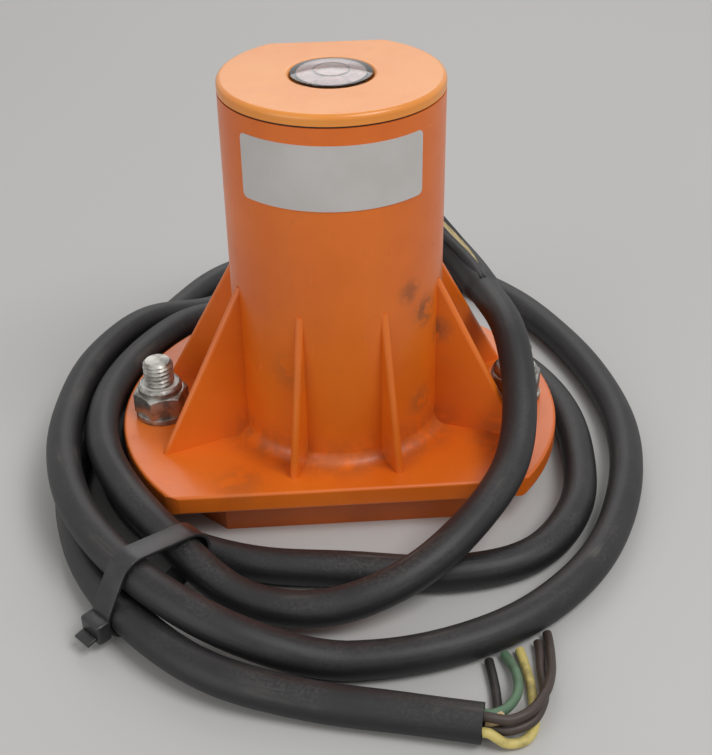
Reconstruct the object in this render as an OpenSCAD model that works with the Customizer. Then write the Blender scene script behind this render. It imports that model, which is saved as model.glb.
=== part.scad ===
// Tilt switch: a gimballed pendulum in a flanged housing, with a bull's-eye level in the lid and a coiled
// cable. Millimetres, +Z up. The origin is the centre of the base face that stands on the table, +Y points
// to the flat back with the cable gland, and +X to the right as seen from the front.

/* [Body] */
// Outer radius of the round body
body_r = 40; // [39:0.5:42]
// Distance from the axis to the flat back
body_flat = 34; // [33:0.5:35]
// Rounding where the flat back meets the round body
body_corner = 4; // [3.8:0.1:6]
// Height of the body above the flange
body_h = 133.4; // [130:0.2:140]
// Wall thickness
wall = 3.5; // [3:0.1:3.6]
// Fillet between body and flange
body_fillet = 5; // [2:0.5:6]

/* [Flange] */
// Radius of the flange
flange_r = 86.5; // [84:0.5:95]
// Distance from the axis to the front flat
flange_front = 56.7; // [55:0.1:60]
// Distance from the axis to the back flat
flange_back = 60; // [56:0.5:64]
// Rounding of the four corners
flange_corner = 10; // [6:0.5:12]
// Thickness of the flange
flange_t = 8; // [7.5:0.5:10]
// Rounding of the flange's top and bottom edges
flange_edge = 1.2; // [0.6:0.1:2]

/* [Ribs] */
// Thickness of a rib
rib_t = 3; // [2:0.1:4]
// Height of the ribs above the flange, at the body
rib_h = 64.5; // [50:0.5:66]
// Radius at the foot of the four side ribs
rib_side_foot = 75; // [65:0.5:78]
// Radius at the foot of the front and back ribs
rib_end_foot = 53; // [48:0.5:55]

/* [Base cover] */
// Width of the cover across X
cover_w = 112; // [108:1:114]
// Distance from the axis to the cover's front edge
cover_front = 49; // [46:0.5:52]
// Distance from the axis to the cover's back edge
cover_back = 52; // [50:0.5:55]
// Leg of the 45 degree corner chamfers
cover_chamfer = 10; // [6:0.5:12]
// Height of the cover
cover_h = 13; // [13:0.5:16]
// Floor of the cover
cover_floor = 3; // [2.5:0.5:4]
// Thickness of the gasket between cover and flange
base_gasket_t = 1; // [0.5:0.1:2]

/* [Lid] */
// Visible thickness of the lid
lid_t = 3.9; // [3.5:0.1:6]
// Rounding of the lid's top edge
lid_edge = 1.8; // [1:0.1:2.5]
// Thickness of the gasket under the lid
lid_gasket_t = 0.7; // [0.4:0.1:1.2]
// Depth of the lid's spigot inside the body
spigot_h = 5; // [4:0.5:8]

/* [Level] */
// Outer radius of the clear vial
vial_r = 14.4; // [13:0.1:15]
// Side wall of the vial
vial_wall = 2.4; // [2:0.1:3]
// Radius of the outer dome
dome_r = 62; // [60:1:80]
// Thickness of the dome
dome_t = 2; // [1.6:0.1:2.4]
// Height of the dome's top above the lid
dome_proud = 2; // [1:0.1:3]
// Outer radius of the printed ring
ring_r = 6.5; // [6:0.1:7]
// Radius of the bubble
bubble_r = 4.5; // [3.5:0.1:5]
// Thickness of the bubble
bubble_t = 1.8; // [1.4:0.1:2]

/* [Mounting hardware] */
// Distance of each bolt from the axis
bolt_x = 71; // [70:0.5:72]
// Thread diameter
bolt_d = 12; // [12:12]
// Hole for the bolt in the flange
bolt_hole_d = 13.5; // [13:0.1:14]
// Bolt tip above the flange
bolt_tip = 24.3; // [20:0.1:24.5]
// Width across flats of bolt head and nut
hex_af = 19; // [18:19]

/* [Pendulum] */
// Height of the gimbal axes above the base face
pivot_z = 118; // [114:1:120]
// Largest tilt to each side, in degrees
tilt_max = 10; // [5:1:10]
// Radius of the bob
bob_r = 11; // [8:0.5:11.5]
// Height of the bob
bob_h = 28; // [20:1:30]
// Distance from the gimbal axes to the bottom of the bob
bob_drop = 70; // [66:1:71]
// Radius of the pendulum rod
rod_r = 2.5; // [2:0.1:3]

/* [Gland and cable] */
// Diameter of the cable
cable_d = 13; // [12:0.1:13]
// Diameter of a core
core_d = 3.2; // [2.4:0.1:3.2]
// Height of the gland's axis above the base face
gland_z = 98; // [97:0.5:100]
// Thread diameter of the gland
gland_thread = 20; // [20:20]
// Width across flats of the gland
gland_af = 24; // [24:1:26]

/* [Label] */
// Left edge of the label, in degrees round the body from the front
label_left = -52.8; // [-60:0.2:-45]
// Right edge of the label
label_right = 45.6; // [40:0.2:55]
// Lower edge above the flange
label_low = 104.2; // [95:0.1:108]
// Upper edge above the flange
label_high = 127.5; // [120:0.1:128]

/* [Hidden] */
$fn = 96;
eps = 0.01;
seat = 0.2;
pin_gap = 0.05;
// Play that lets the corner arcs of a plate cross its edges instead of only touching them
corner_ease = 0.1;
// Play between a bolt's shank and the nut's thread
thread_gap = 0.05;
// Pitch diameter of the thread, where shank and nut meet
pitch_d = 10.9;
label_gap = 0.05;

orange = [0.93, 0.47, 0.13];
orange_lid = [0.95, 0.55, 0.2];
steel = [0.7, 0.7, 0.7];
brass = [0.78, 0.6, 0.3];
black = [0.12, 0.12, 0.13];
brown = [0.2, 0.16, 0.14];
clear = [0.95, 0.8, 0.8, 0.4];

flange_z = cover_h + base_gasket_t;
flange_top = flange_z + flange_t;
body_top = flange_top + body_h;
lid_z = body_top + lid_gasket_t;
lid_top = lid_z + lid_t;
cavity_flat = body_flat - wall;

screw_r = 2;
screw_x = 46;
screw_front = 37;
screw_back = 40;
screw_head_r = 4;
screw_head_h = 3;
screw_recess = 4;
screw_depth = 5.5;
tower_r = 6;

m3_r = 1.5;
m3_head_r = 2.8;
m3_head_h = 2;

board_z = 20;
board_t = 1.6;
board_r = body_r - wall - 2.5;
board_w = 60;
board_l = 54;
post_x = 22;
post_y = 18;
post_r = 3.5;
board_top = board_z + board_t;

arm_x = body_r - wall - 4.5;
arm_t = 2;
arm_w = 14;
strip_t = 2;
strip_screw_x = 20;
tab_w = 6;

pin_r = 1.5;
gimbal_out = 20;
gimbal_in = 14;
gimbal_h = 7;
collar_r = 2.8;
hub_x = 10;
hub_y = 24;
hub_z = 12;
rod_in_bob = 12;
magnet_r = 4;
magnet_h = 3;

stop_z = 84;
stop_t = 3;
stop_w = 28;
stop_gap = 0.4;
stop_half = (pivot_z - stop_z) * tan(tilt_max) + rod_r / cos(tilt_max) + stop_gap;

sensor_z = 36;
sensor_board_r = 12;
pillar_r = 1.5;
pillar_xy = 7;

relay_size = [14, 25, 12];
relay_inset = 1;
capacitor_r = 5;
capacitor_h = 12;
capacitor_inset = 3;

terminal_y = 19;
terminal_w = 34;
terminal_d = 9;
terminal_h = 10;
terminal_top = board_top + terminal_h;
terminal_pitch = 6;
wire_y = 21;
terminal_screw_y = 17;
wire_depth = 5;
core_r = core_d / 2;
core_circle = 3.4;
core_sides = 8;

level_ledge = 2;
level_depth = 10;
level_z = lid_top - level_depth;
dome_z = lid_top + dome_proud - dome_r;
vial_in = vial_r - vial_wall;
level_base_t = 2;
rim_round = 1.8;
fluid_gap = 2.2;
bubble_skin = 0.2;
ring_w = 0.7;
ring_depth = 0.3;

washer_t = 2.5;
washer_r = 12;
spring_washer_r = 10.5;
spring_washer_in = 6.2;
head_h = 7.5;
nut_hex_h = 9;
nut_h = 12;
nut_collar_r = 8.7;
insert_r = 7.4;
insert_h = 2.4;

gland_y = body_flat;
gland_washer_t = 1.5;
gland_stub = 9;
gland_hex_t = 8;
gland_neck = 9;
gland_bore_r = 7.2;
gland_seal_r = 8.5;
gland_nut_l = 17;
gland_mouth = gland_y + gland_washer_t + gland_hex_t + 1 + gland_nut_l;

cable_r = cable_d / 2;
cable_sides = 10;
// Centre heights of the cable: lying on the table, raised at the tie, and lying on another strand
low = 6.6;
tied = 9.6;
high = 21;
// Centre line of the cable from inside the gland to its cut end
cable_route = [
    [0, 40, 98], [0, 62, 98], [2.2, 76.3, 96.4], [10, 88.6, 90.1], [21.4, 93.9, 81], [33.3, 91.5, 71.5],
    [43.2, 82, 63.3], [51, 67, 57], [57.5, 52, 54], [62.3, 30, 53.5], [67, -3, 54.3], [67, -30, 42], [61, -54, 30],
    [43, -80, 24], [18, -100, 17], [-12, -106, 10], [-40, -98, 10], [-64, -76, 19], [-83, -47, high],
    [-94, -15, high], [-93, 18, high], [-81, 49, high], [-60, 74, high], [-23, 76, high], [9, 75, high],
    [37, 69.5, 15], [66, 63, low], [84, 41, low], [94, 11, low], [94, -21, low], [86, -55, low], [65, -81, low],
    [35, -88, low], [0, -83, low], [-36, -77, low], [-66, -61, low], [-86, -32, low], [-92, 2, low],
    [-85, 37, low], [-64, 65, low], [-34, 76, low], [0, 78, low], [26, 80.2, low], [39, 89.5, low],
    [44.4, 104.3, low], [41.6, 120, low], [31.5, 132, low], [16, 137.5, low], [-6, 137, low], [-28, 127, low],
    [-55, 102, 9], [-82, 75, high], [-101, 45, high], [-108.5, 8, high], [-107.6, -27, high], [-97, -62, high],
    [-74, -97, high], [-45, -119, 16], [-11, -127, 7], [24, -125, low], [57, -112, low], [86, -86, low],
    [105, -51, low], [115, -11, low], [114, 28, low], [104, 68, low], [86, 106, low], [57, 137, low],
    [20, 154, low], [-20, 155, low], [-50, 139, low], [-69, 112, low], [-85, 79, low], [-99, 45, low],
    [-106, 9, low], [-106, -29, low], [-98, -65, low], [-80, -101, tied], [-51, -131, tied], [-16, -144, low],
    [12, -151, low], [35, -157, low]];
// Centre lines of the bare cores at the cut end
core_green_route = [[35.8, -154.5, 8.2], [37.5, -155, 8.2], [43, -152, 7], [48, -144.5, 5.4],
    [49.5, -134, 3.6], [47.5, -124, 1.9]];
core_black_route = [[35.9, -154.2, 4.4], [37.6, -154.7, 4.4], [40.5, -150.5, 3], [41.8, -142.5, 1.9],
    [42, -134, 1.9], [41.8, -126.5, 1.9]];
core_brown_route = [[35.1, -157.3, 10], [36.8, -157.8, 10], [43, -158.5, 9.2], [50, -155.5, 9.2],
    [55.8, -148.5, 8.8], [60, -138, 6], [62, -129, 3.5], [63.2, -120, 2], [63.4, -115.5, 1.9]];
core_brown_low_route = [[35.1, -157.3, 5], [36.8, -157.8, 5], [43, -159, 5], [50.5, -156.4, 5.4],
    [55, -150, 5.4], [57.5, -141, 3], [58.3, -132, 1.9], [59.3, -124, 1.9], [59.6, -119.5, 1.9]];
core_yellow_route = [[34.3, -160.7, 6.8], [36, -161.1, 6.8], [42, -162.2, 2.8], [48, -160.5, 1.9],
    [51.6, -155.5, 1.9], [52.8, -148, 1.9], [53.6, -139, 1.9], [53.4, -130, 1.9], [52.8, -122.5, 1.9]];

// Strap of the tie: where it crosses the strands, in its own upright plane
tie_at = [-62, -88];
tie_angle = -128;
tie_w = 8;
tie_t = 1.3;
tie_gap = 1.6;
tie_strands = [[-7.5, 16.5], [14.4, 20.5], [22.3, tied]];
tie_sides = 32;
tie_head = [7, 8, 10];
tie_tail = [14, 0.9, 6];

// Shared shapes

// Centre of a corner arc: r is the disc's radius, d the flat's distance and c the corner's radius
function corner_x(r, d, c) = sqrt(pow(r - c, 2) - pow(d - c, 2));
function corner_angle(r, d, c) = atan2(d - c, corner_x(r, d, c));

// Region of a disc that keeps its own round edge, with reach past the corner centres at the flats
function flat_side(x, y, far, reach) =
    concat([[x, y] * far, [x, y]], reach > 0 ? [[x, y + reach], [-x, y + reach]] : [],
        [[-x, y], [-x, y] * far]);
function disc_region(r, back, front, c, reach) =
    let (far = 2 * r / (r - c), b = flat_side(corner_x(r, back, c), back - c, far, reach))
    front < r
        ? concat(b, [[-2 * r, 0]], -1 * flat_side(corner_x(r, front, c), front - c, far, reach), [[2 * r, 0]])
        : concat(b, [[-2 * r, 0], [-2 * r, -2 * r], [2 * r, -2 * r], [2 * r, 0]]);

// Outline of a disc with a flat at the back and, if front is less than r, one at the front
module flat_disc(r, back, front, c) {
    intersection() {
        circle(r);
        polygon(disc_region(r, back, front, c, c));
    }
    for (side = [-1, 1]) {
        translate([side * corner_x(r, back, c), back - c])
            circle(c);
        if (front < r)
            translate([side * corner_x(r, front, c), c - front])
                circle(c);
    }
}

// Carries a profile round one flat and its two corners: x is the distance outwards from the corner centres
module one_flat(x, y, a) {
    translate([x, y, 0])
        rotate([0, 0, a])
            rotate_extrude(angle = 90 - a)
                children();
    translate([-x, y, 0])
        rotate([0, 0, 90])
            rotate_extrude(angle = 90 - a)
                children();
    translate([-x, y, 0])
        rotate([90, 0, 90])
            linear_extrude(2 * x)
                children();
}

module corners_and_flats(r, back, front, c) {
    one_flat(corner_x(r, back, c), back - c, corner_angle(r, back, c))
        children();
    if (front < r)
        rotate([0, 0, 180])
            one_flat(corner_x(r, front, c), front - c, corner_angle(r, front, c))
                children();
}

// Half section of a disc of radius r and height h with rounded outer edges
module edge_profile(r, h, top, bottom) {
    difference() {
        square([r, h]);
        if (top > 0)
            translate([r, h])
                edge_cut(top);
        if (bottom > 0)
            translate([r, 0])
                mirror([0, 1])
                    edge_cut(bottom);
    }
}

// Plate with the outline of flat_disc and rounded edges; the corners between arc and flats stay sharp
module rounded_flat_disc(r, back, front, c, h, top, bottom) {
    intersection() {
        rotate_extrude()
            edge_profile(r, h, top, bottom);
        union() {
            half_bar(90, r, back, h, top, bottom);
            half_bar(-90, r, front, h, top, bottom);
        }
        translate([0, 0, -1])
            linear_extrude(h + 2)
                flat_disc(r + corner_ease, back + corner_ease, min(front, r) + corner_ease, c);
    }
}

// Bar on one side of the X axis, its far edges rounded where it ends inside the disc
module half_bar(turn, r, reach, h, top, bottom) {
    rotate([90, 0, turn])
        translate([0, 0, -r - 1])
            linear_extrude(2 * r + 2)
                if (reach < r)
                    edge_profile(reach, h, top, bottom);
                else
                    square([r + 1, h]);
}

// Corner left over outside a quarter round of radius r, at the top outer edge of a solid
module edge_cut(r) {
    difference() {
        translate([-r, -r])
            square([r + 1, r + 1]);
        translate([-r, -r])
            circle(r);
    }
}

module body_outline(inset = 0) {
    flat_disc(body_r - inset, body_flat - inset, body_r, body_corner - inset);
}

module hex_prism(af, h) {
    cylinder(r = af / 2 / cos(30), h = h, $fn = 6);
}

// Hexagon whose corners are turned down at the top
module chamfered_hex(af, h) {
    intersection() {
        hex_prism(af, h);
        rotate_extrude()
            polygon([[0, 0], [af / 2 / cos(30) + eps, 0], [af / 2 / cos(30) + eps, h - 1.2], [af / 2 - 0.4, h],
                [0, h]]);
    }
}

// Local Z along +Y, with the gland's axis at the origin of the turned frame
module on_gland_axis(y) {
    translate([0, y, gland_z])
        rotate([-90, 0, 0])
            rotate([0, 0, 30])
                children();
}

// Places that repeat
module at_bolts() {
    for (side = [-1, 1])
        translate([side * bolt_x, 0, 0])
            children();
}

module at_cover_screws() {
    for (side = [-1, 1])
        for (y = [-screw_front, screw_back])
            translate([side * screw_x, y, 0])
                children();
}

module at_posts() {
    for (side = [-1, 1])
        for (end = [-1, 1])
            translate([side * post_x, end * post_y, 0])
                children();
}

// Sweeps of the cable and its cores
function unit(v) = v / norm(v);
function tangent(p, i) =
    unit((i > 0 ? unit(p[i] - p[i - 1]) : [0, 0, 0]) + (i < len(p) - 1 ? unit(p[i + 1] - p[i]) : [0, 0, 0]));
// Ring of n points round p[i]; the route never runs along the direction called level
function ring_at(p, i, r, n, level) =
    let (t = tangent(p, i), side = unit(cross(t, level)), top = cross(side, t))
    [for (k = [0 : n - 1]) p[i] + r * (cos(360 * (k + 0.5) / n) * side + sin(360 * (k + 0.5) / n) * top)];

module sweep(p, r, n, level = [0, 0, 1]) {
    last = len(p) - 1;
    points = [for (i = [0 : last]) each ring_at(p, i, r, n, level)];
    sides = [for (i = [0 : last - 1], k = [0 : n - 1])
        let (a = i * n + k, b = i * n + (k + 1) % n) [a, a + n, b + n, b]];
    start = [[for (k = [0 : n - 1]) k]];
    end = [[for (k = [n - 1 : -1 : 0]) last * n + k]];
    polyhedron(points = points, faces = concat(start, sides, end));
}

// Housing: body, flange and ribs in one moulding

function from_back(angle) = abs(180 - abs(angle));
function rib_surface(angle) =
    from_back(angle) < 30 ? body_flat / cos(from_back(angle)) : body_r;
function rib_foot(angle) = abs(sin(angle)) > 0.6 ? rib_side_foot : rib_end_foot;

// One rib at an angle from the front, its slanted edge rounded
module rib(angle) {
    start = rib_surface(angle) - 1;
    run = rib_foot(angle) - rib_surface(angle);
    slope = atan2(rib_h, run);
    foot = rib_foot(angle) - rib_t / 2 / sin(slope);
    edge_len = (foot - start) / cos(slope);
    rotate([0, 0, angle - 90])
        translate([0, 0, flange_top]) {
            rotate([90, 0, 0])
                translate([0, 0, -rib_t / 2])
                    linear_extrude(rib_t)
                        polygon([[start, -1], [foot + 1 / tan(slope), -1],
                            [start, (foot - start) * tan(slope)]]);
            translate([foot + 1 / tan(slope), 0, -1])
                rotate([0, slope - 90, 0])
                    cylinder(r = rib_t / 2, h = edge_len + 1 / sin(slope), $fn = 48);
        }
}

module body_foot_fillet() {
    x = corner_x(body_r, body_flat, body_corner);
    intersection() {
        rotate_extrude()
            translate([body_r - corner_ease / 2, 0])
                fillet_profile();
        translate([0, 0, -1])
            linear_extrude(body_fillet + 2)
                polygon(disc_region(body_r, body_flat, body_r, body_corner, 0));
    }
    translate([-x, body_flat - corner_ease / 2, 0])
        rotate([90, 0, 90])
            linear_extrude(2 * x)
                fillet_profile();
    for (side = [-1, 1])
        translate([side * x, body_flat - body_corner, 0])
            rotate_extrude()
                translate([body_corner - corner_ease, 0])
                    fillet_profile();
}

module fillet_profile() {
    difference() {
        translate([-0.5, -0.5])
            square([body_fillet + 0.5, body_fillet + 0.5]);
        translate([body_fillet, body_fillet])
            circle(body_fillet);
    }
}

module housing() {
    color(orange)
        difference() {
            union() {
                translate([0, 0, flange_z])
                    rounded_flat_disc(flange_r, flange_back, flange_front, flange_corner, flange_t,
                        flange_edge, flange_edge);
                translate([0, 0, flange_z + 1])
                    linear_extrude(body_top - flange_z - 1)
                        body_outline();
                translate([0, 0, flange_top])
                    body_foot_fillet();
                for (k = [0 : 7])
                    rib(22.5 + 45 * k - 180);
            }
            translate([0, 0, flange_z - 1])
                linear_extrude(body_top - flange_z + 2)
                    body_outline(wall);
            at_bolts()
                translate([0, 0, flange_z - 1])
                    cylinder(d = bolt_hole_d, h = flange_t + 2);
            at_cover_screws()
                translate([0, 0, flange_z - 1])
                    cylinder(r = screw_r, h = screw_depth + 1);
            on_gland_axis(cavity_flat - 1)
                cylinder(r = gland_thread / 2 + seat, h = wall + 2);
        }
}

// Base cover with its gasket and screws

function cover_points(inset) =
    let (x = cover_w / 2 - inset, f = -cover_front + inset, b = cover_back - inset,
        c = cover_chamfer - inset * (2 - sqrt(2)))
    [[-x + c, f], [x - c, f], [x, f + c], [x, b - c], [x - c, b], [-x + c, b], [-x, b - c], [-x, f + c]];

module base_cover() {
    color(orange)
        difference() {
            union() {
                difference() {
                    linear_extrude(cover_h)
                        polygon(cover_points(0));
                    translate([0, 0, cover_floor])
                        linear_extrude(cover_h)
                            polygon(cover_points(wall));
                }
                at_cover_screws()
                    translate([0, 0, 1])
                        cylinder(r = tower_r, h = cover_h - 1);
                at_posts()
                    translate([0, 0, 1])
                        cylinder(r = post_r, h = board_z - 1);
            }
            at_cover_screws() {
                translate([0, 0, -1])
                    cylinder(r = screw_head_r + 0.5, h = screw_recess + 1);
                cylinder(r = screw_r + 0.25, h = cover_h + 1);
            }
            at_posts()
                translate([0, 0, board_z - 8])
                    cylinder(r = m3_r, h = 9);
            for (side = [-1, 1])
                translate([side * strip_screw_x, 0, 1])
                    cylinder(r = m3_r, h = cover_floor);
        }
}

module base_gasket() {
    color(black)
        translate([0, 0, cover_h])
            linear_extrude(base_gasket_t)
                difference() {
                    union() {
                        difference() {
                            polygon(cover_points(0.3));
                            polygon(cover_points(wall));
                        }
                        at_cover_screws()
                            circle(tower_r);
                    }
                    at_cover_screws()
                        circle(screw_r + 0.25);
                }
}

module pan_screw(shank_r, shank_l, head_r, head_h) {
    cylinder(r = shank_r, h = shank_l);
    translate([0, 0, -head_h])
        difference() {
            cylinder(r = head_r, h = head_h);
            for (a = [0, 90])
                rotate([0, 0, a])
                    translate([-head_r * 0.6, -0.4, -1])
                        cube([head_r * 1.2, 0.8, 1 + head_h / 2]);
        }
}

module cover_screws() {
    color(steel)
        at_cover_screws()
            translate([0, 0, screw_recess])
                pan_screw(screw_r, flange_z - screw_recess + screw_depth - 0.5, screw_head_r, screw_head_h);
}

// Lid, its gasket and the label

module lid() {
    rim_r = vial_r + seat;
    color(orange_lid)
        difference() {
            union() {
                translate([0, 0, lid_z])
                    rounded_flat_disc(body_r, body_flat, body_r, body_corner, lid_t, lid_edge, 0);
                translate([0, 0, lid_z - lid_gasket_t - spigot_h])
                    linear_extrude(spigot_h + lid_gasket_t + 1)
                        difference() {
                            body_outline(wall + seat);
                            circle(cavity_flat - 4);
                        }
                translate([0, 0, level_z - level_ledge])
                    cylinder(r = rim_r + 3, h = lid_z - level_z + level_ledge + 1);
            }
            translate([0, 0, level_z])
                cylinder(r = rim_r, h = lid_top - level_z + 1);
            translate([0, 0, level_z - level_ledge - 1])
                cylinder(r = vial_in - 1, h = level_ledge + 2);
            translate([0, 0, lid_top])
                rotate_extrude()
                    difference() {
                        translate([rim_r - 1, -rim_round])
                            square([rim_round + 1, rim_round + 1]);
                        translate([rim_r + rim_round, -rim_round])
                            circle(rim_round);
                    }
        }
}

module lid_gasket() {
    color(black)
        translate([0, 0, body_top])
            linear_extrude(lid_gasket_t)
                difference() {
                    body_outline(0.6);
                    body_outline(wall);
                }
}

module label() {
    thick = 0.25;
    corner = 2;
    color([0.8, 0.82, 0.84])
        translate([0, 0, flange_top])
            difference() {
                rotate([0, 0, label_left - 90])
                    rotate_extrude(angle = label_right - label_left)
                        translate([body_r + label_gap, label_low])
                            square([thick, label_high - label_low]);
                for (side = [[label_left, 1], [label_right, -1]])
                    for (edge = [[label_low, 1], [label_high, -1]])
                        rotate([0, 0, side[0] - 90])
                            translate([body_r - 1, 0, edge[0]])
                                label_corner_cut(corner, side[1], edge[1]);
            }
}

// Waste outside a rounded corner: y points along the label, z up, both inwards after the mirrors
module label_corner_cut(r, along, up) {
    mirror([0, along < 0 ? 1 : 0, 0])
        mirror([0, 0, up < 0 ? 1 : 0])
            rotate([90, 0, 90])
                linear_extrude(3)
                    difference() {
                        translate([-1, -1])
                            square(r + 1);
                        translate([r, r])
                            circle(r);
                    }
}

// Bull's-eye level

module dome_ball(r) {
    translate([0, 0, dome_z])
        sphere(r, $fn = 192);
}

module level_column(r, z) {
    translate([0, 0, z])
        cylinder(r = r, h = lid_top + dome_proud + 1 - z);
}

module level_vial() {
    color(clear)
        difference() {
            intersection() {
                level_column(vial_r, level_z);
                dome_ball(dome_r);
            }
            intersection() {
                level_column(vial_in, level_z - 1);
                dome_ball(dome_r - dome_t);
            }
            ring_band(dome_r - dome_t + ring_depth);
        }
}

module ring_band(outer) {
    intersection() {
        difference() {
            level_column(ring_r, level_z + 3);
            level_column(ring_r - ring_w, level_z + 2);
        }
        dome_ball(outer);
    }
}

module level_ring() {
    color(black)
        difference() {
            ring_band(dome_r - dome_t + ring_depth);
            dome_ball(dome_r - dome_t);
        }
}

module level_fluid() {
    color([0.95, 0.75, 0.75, 0.5])
        intersection() {
            level_column(vial_in, level_z + level_base_t);
            dome_ball(dome_r - dome_t - fluid_gap);
        }
}

module level_base() {
    color([0.9, 0.86, 0.85])
        translate([0, 0, level_z])
            cylinder(r = vial_in, h = level_base_t);
}

module bubble() {
    top = dome_r - dome_t - bubble_skin;
    sag = top - sqrt(top * top - bubble_r * bubble_r);
    depth = bubble_t - sag;
    belly = (bubble_r * bubble_r + depth * depth) / (2 * depth);
    color([1, 1, 1, 0.5])
        intersection() {
            dome_ball(top);
            translate([0, 0, dome_z + top - bubble_t + belly])
                sphere(belly);
        }
}

// Sensor: chassis, gimbal and pendulum

module chassis() {
    arm_top = pivot_z;
    color(steel)
        difference() {
            union() {
                translate([-arm_x - arm_t, -arm_w / 2, cover_floor])
                    cube([2 * (arm_x + arm_t), arm_w, strip_t]);
                for (side = [-1, 1])
                    translate([side * (arm_x + arm_t / 2) - arm_t / 2, 0, 0])
                        rotate([90, 0, 90])
                            linear_extrude(arm_t) {
                                translate([-arm_w / 2, cover_floor])
                                    square([arm_w, arm_top - cover_floor]);
                                translate([0, arm_top])
                                    circle(arm_w / 2);
                            }
            }
            translate([-arm_x - arm_t - 1, 0, pivot_z])
                rotate([0, 90, 0])
                    cylinder(r = pin_r + pin_gap, h = 2 * (arm_x + arm_t + 1));
            translate([-arm_x - arm_t - 1, -tab_w / 2, stop_z])
                cube([2 * (arm_x + arm_t + 1), tab_w, stop_t]);
            for (side = [-1, 1])
                translate([side * strip_screw_x, 0, cover_floor - 1])
                    cylinder(r = m3_r, h = strip_t + 2);
        }
}

module chassis_screws() {
    color(steel)
        for (side = [-1, 1])
            translate([side * strip_screw_x, 0, cover_floor + strip_t])
                mirror([0, 0, 1])
                    pan_screw(m3_r, cover_floor + strip_t - 1, m3_head_r, m3_head_h);
}

module stop_plate() {
    color(steel)
        translate([0, 0, stop_z])
            linear_extrude(stop_t)
                difference() {
                    union() {
                        square([2 * arm_x, stop_w], center = true);
                        square([2 * (arm_x + arm_t), tab_w], center = true);
                    }
                    square(2 * stop_half, center = true);
                }
}

module gimbal_ring() {
    pin_end = arm_x + arm_t;
    color(brass)
        translate([0, 0, pivot_z])
            difference() {
                union() {
                    difference() {
                        translate([0, 0, -gimbal_h / 2])
                            cylinder(r = gimbal_out, h = gimbal_h);
                        translate([0, 0, -gimbal_h])
                            cylinder(r = gimbal_in, h = 2 * gimbal_h);
                    }
                    for (side = [0, 180])
                        rotate([0, 0, side]) {
                            translate([gimbal_in + 1, 0, 0])
                                rotate([0, 90, 0])
                                    cylinder(r = pin_r, h = pin_end - gimbal_in - 1);
                            translate([gimbal_in + 1, 0, 0])
                                rotate([0, 90, 0])
                                    cylinder(r = collar_r, h = arm_x - 0.3 - gimbal_in - 1);
                        }
                }
                translate([0, -gimbal_out - 1, 0])
                    rotate([-90, 0, 0])
                        cylinder(r = pin_r, h = 2 * gimbal_out + 2);
            }
}

module cross_pin() {
    color(steel)
        translate([0, -gimbal_out + 0.5, pivot_z])
            rotate([-90, 0, 0])
                cylinder(r = pin_r, h = 2 * gimbal_out - 1);
}

module pendulum() {
    color(steel)
        difference() {
            union() {
                translate([-hub_x / 2, -hub_y / 2, pivot_z - hub_z / 2])
                    cube([hub_x, hub_y, hub_z]);
                translate([0, 0, pivot_z - bob_drop + bob_h - rod_in_bob])
                    cylinder(r = rod_r, h = bob_drop - bob_h + rod_in_bob - hub_z / 2 + 1);
            }
            translate([0, -hub_y / 2 - 1, pivot_z])
                rotate([-90, 0, 0])
                    cylinder(r = pin_r + pin_gap, h = hub_y + 2);
        }
}

module bob() {
    color(brass)
        translate([0, 0, pivot_z - bob_drop])
            difference() {
                rotate_extrude()
                    polygon([[0, 0], [bob_r - 1, 0], [bob_r, 1], [bob_r, bob_h - 2], [bob_r - 2, bob_h],
                        [0, bob_h]]);
                translate([0, 0, bob_h - rod_in_bob])
                    cylinder(r = rod_r, h = rod_in_bob + 1);
                translate([0, 0, -1])
                    cylinder(r = magnet_r, h = magnet_h + 1);
            }
}

module magnet() {
    color([0.3, 0.3, 0.32])
        translate([0, 0, pivot_z - bob_drop])
            cylinder(r = magnet_r, h = magnet_h);
}

// Circuit board and what it carries

module circuit_board() {
    color([0.1, 0.35, 0.2])
        translate([0, 0, board_z])
            linear_extrude(board_t)
                difference() {
                    intersection() {
                        circle(board_r);
                        square([board_w, board_l], center = true);
                    }
                    at_posts()
                        circle(m3_r + 0.1);
                }
}

module board_screws() {
    color(steel)
        at_posts()
            translate([0, 0, board_top])
                mirror([0, 0, 1])
                    pan_screw(m3_r, board_t + 7, m3_head_r, m3_head_h);
}

module sensor_board() {
    color([0.1, 0.35, 0.2]) {
        translate([0, 0, sensor_z])
            cylinder(r = sensor_board_r, h = board_t);
        for (x = [-1, 1])
            for (y = [-1, 1])
                translate([x * pillar_xy, y * pillar_xy, board_top])
                    cylinder(r = pillar_r, h = sensor_z - board_top + 0.5);
    }
}

module sensors() {
    color(black)
        for (k = [0 : 3])
            rotate([0, 0, 90 * k])
                translate([6, 0, sensor_z + board_t + 0.75])
                    cube([3, 4, 1.5], center = true);
}

module relay() {
    color([0.15, 0.2, 0.5])
        translate([relay_inset - board_w / 2, -relay_size[1] / 2, board_top])
            cube(relay_size);
}

module capacitor() {
    color([0.2, 0.2, 0.25])
        translate([board_w / 2 - capacitor_inset - capacitor_r, 0, board_top])
            cylinder(r = capacitor_r, h = capacitor_h);
}

function terminal_x(i) = (i - 2) * terminal_pitch;

module terminal_block() {
    color([0.2, 0.45, 0.3])
        difference() {
            translate([-terminal_w / 2, terminal_y - terminal_d / 2, board_top])
                cube([terminal_w, terminal_d, terminal_h]);
            for (i = [0 : 4]) {
                translate([terminal_x(i), wire_y, board_top + terminal_h - wire_depth])
                    cylinder(r = core_r + 0.1, h = wire_depth + 1);
                translate([terminal_x(i), terminal_screw_y, board_top + terminal_h - 4])
                    cylinder(r = m3_r, h = 5);
            }
        }
}

module terminal_screws() {
    color(steel)
        for (i = [0 : 4])
            translate([terminal_x(i), terminal_screw_y, board_top + terminal_h - 4])
                cylinder(r = m3_r, h = 3.5);
}

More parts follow.
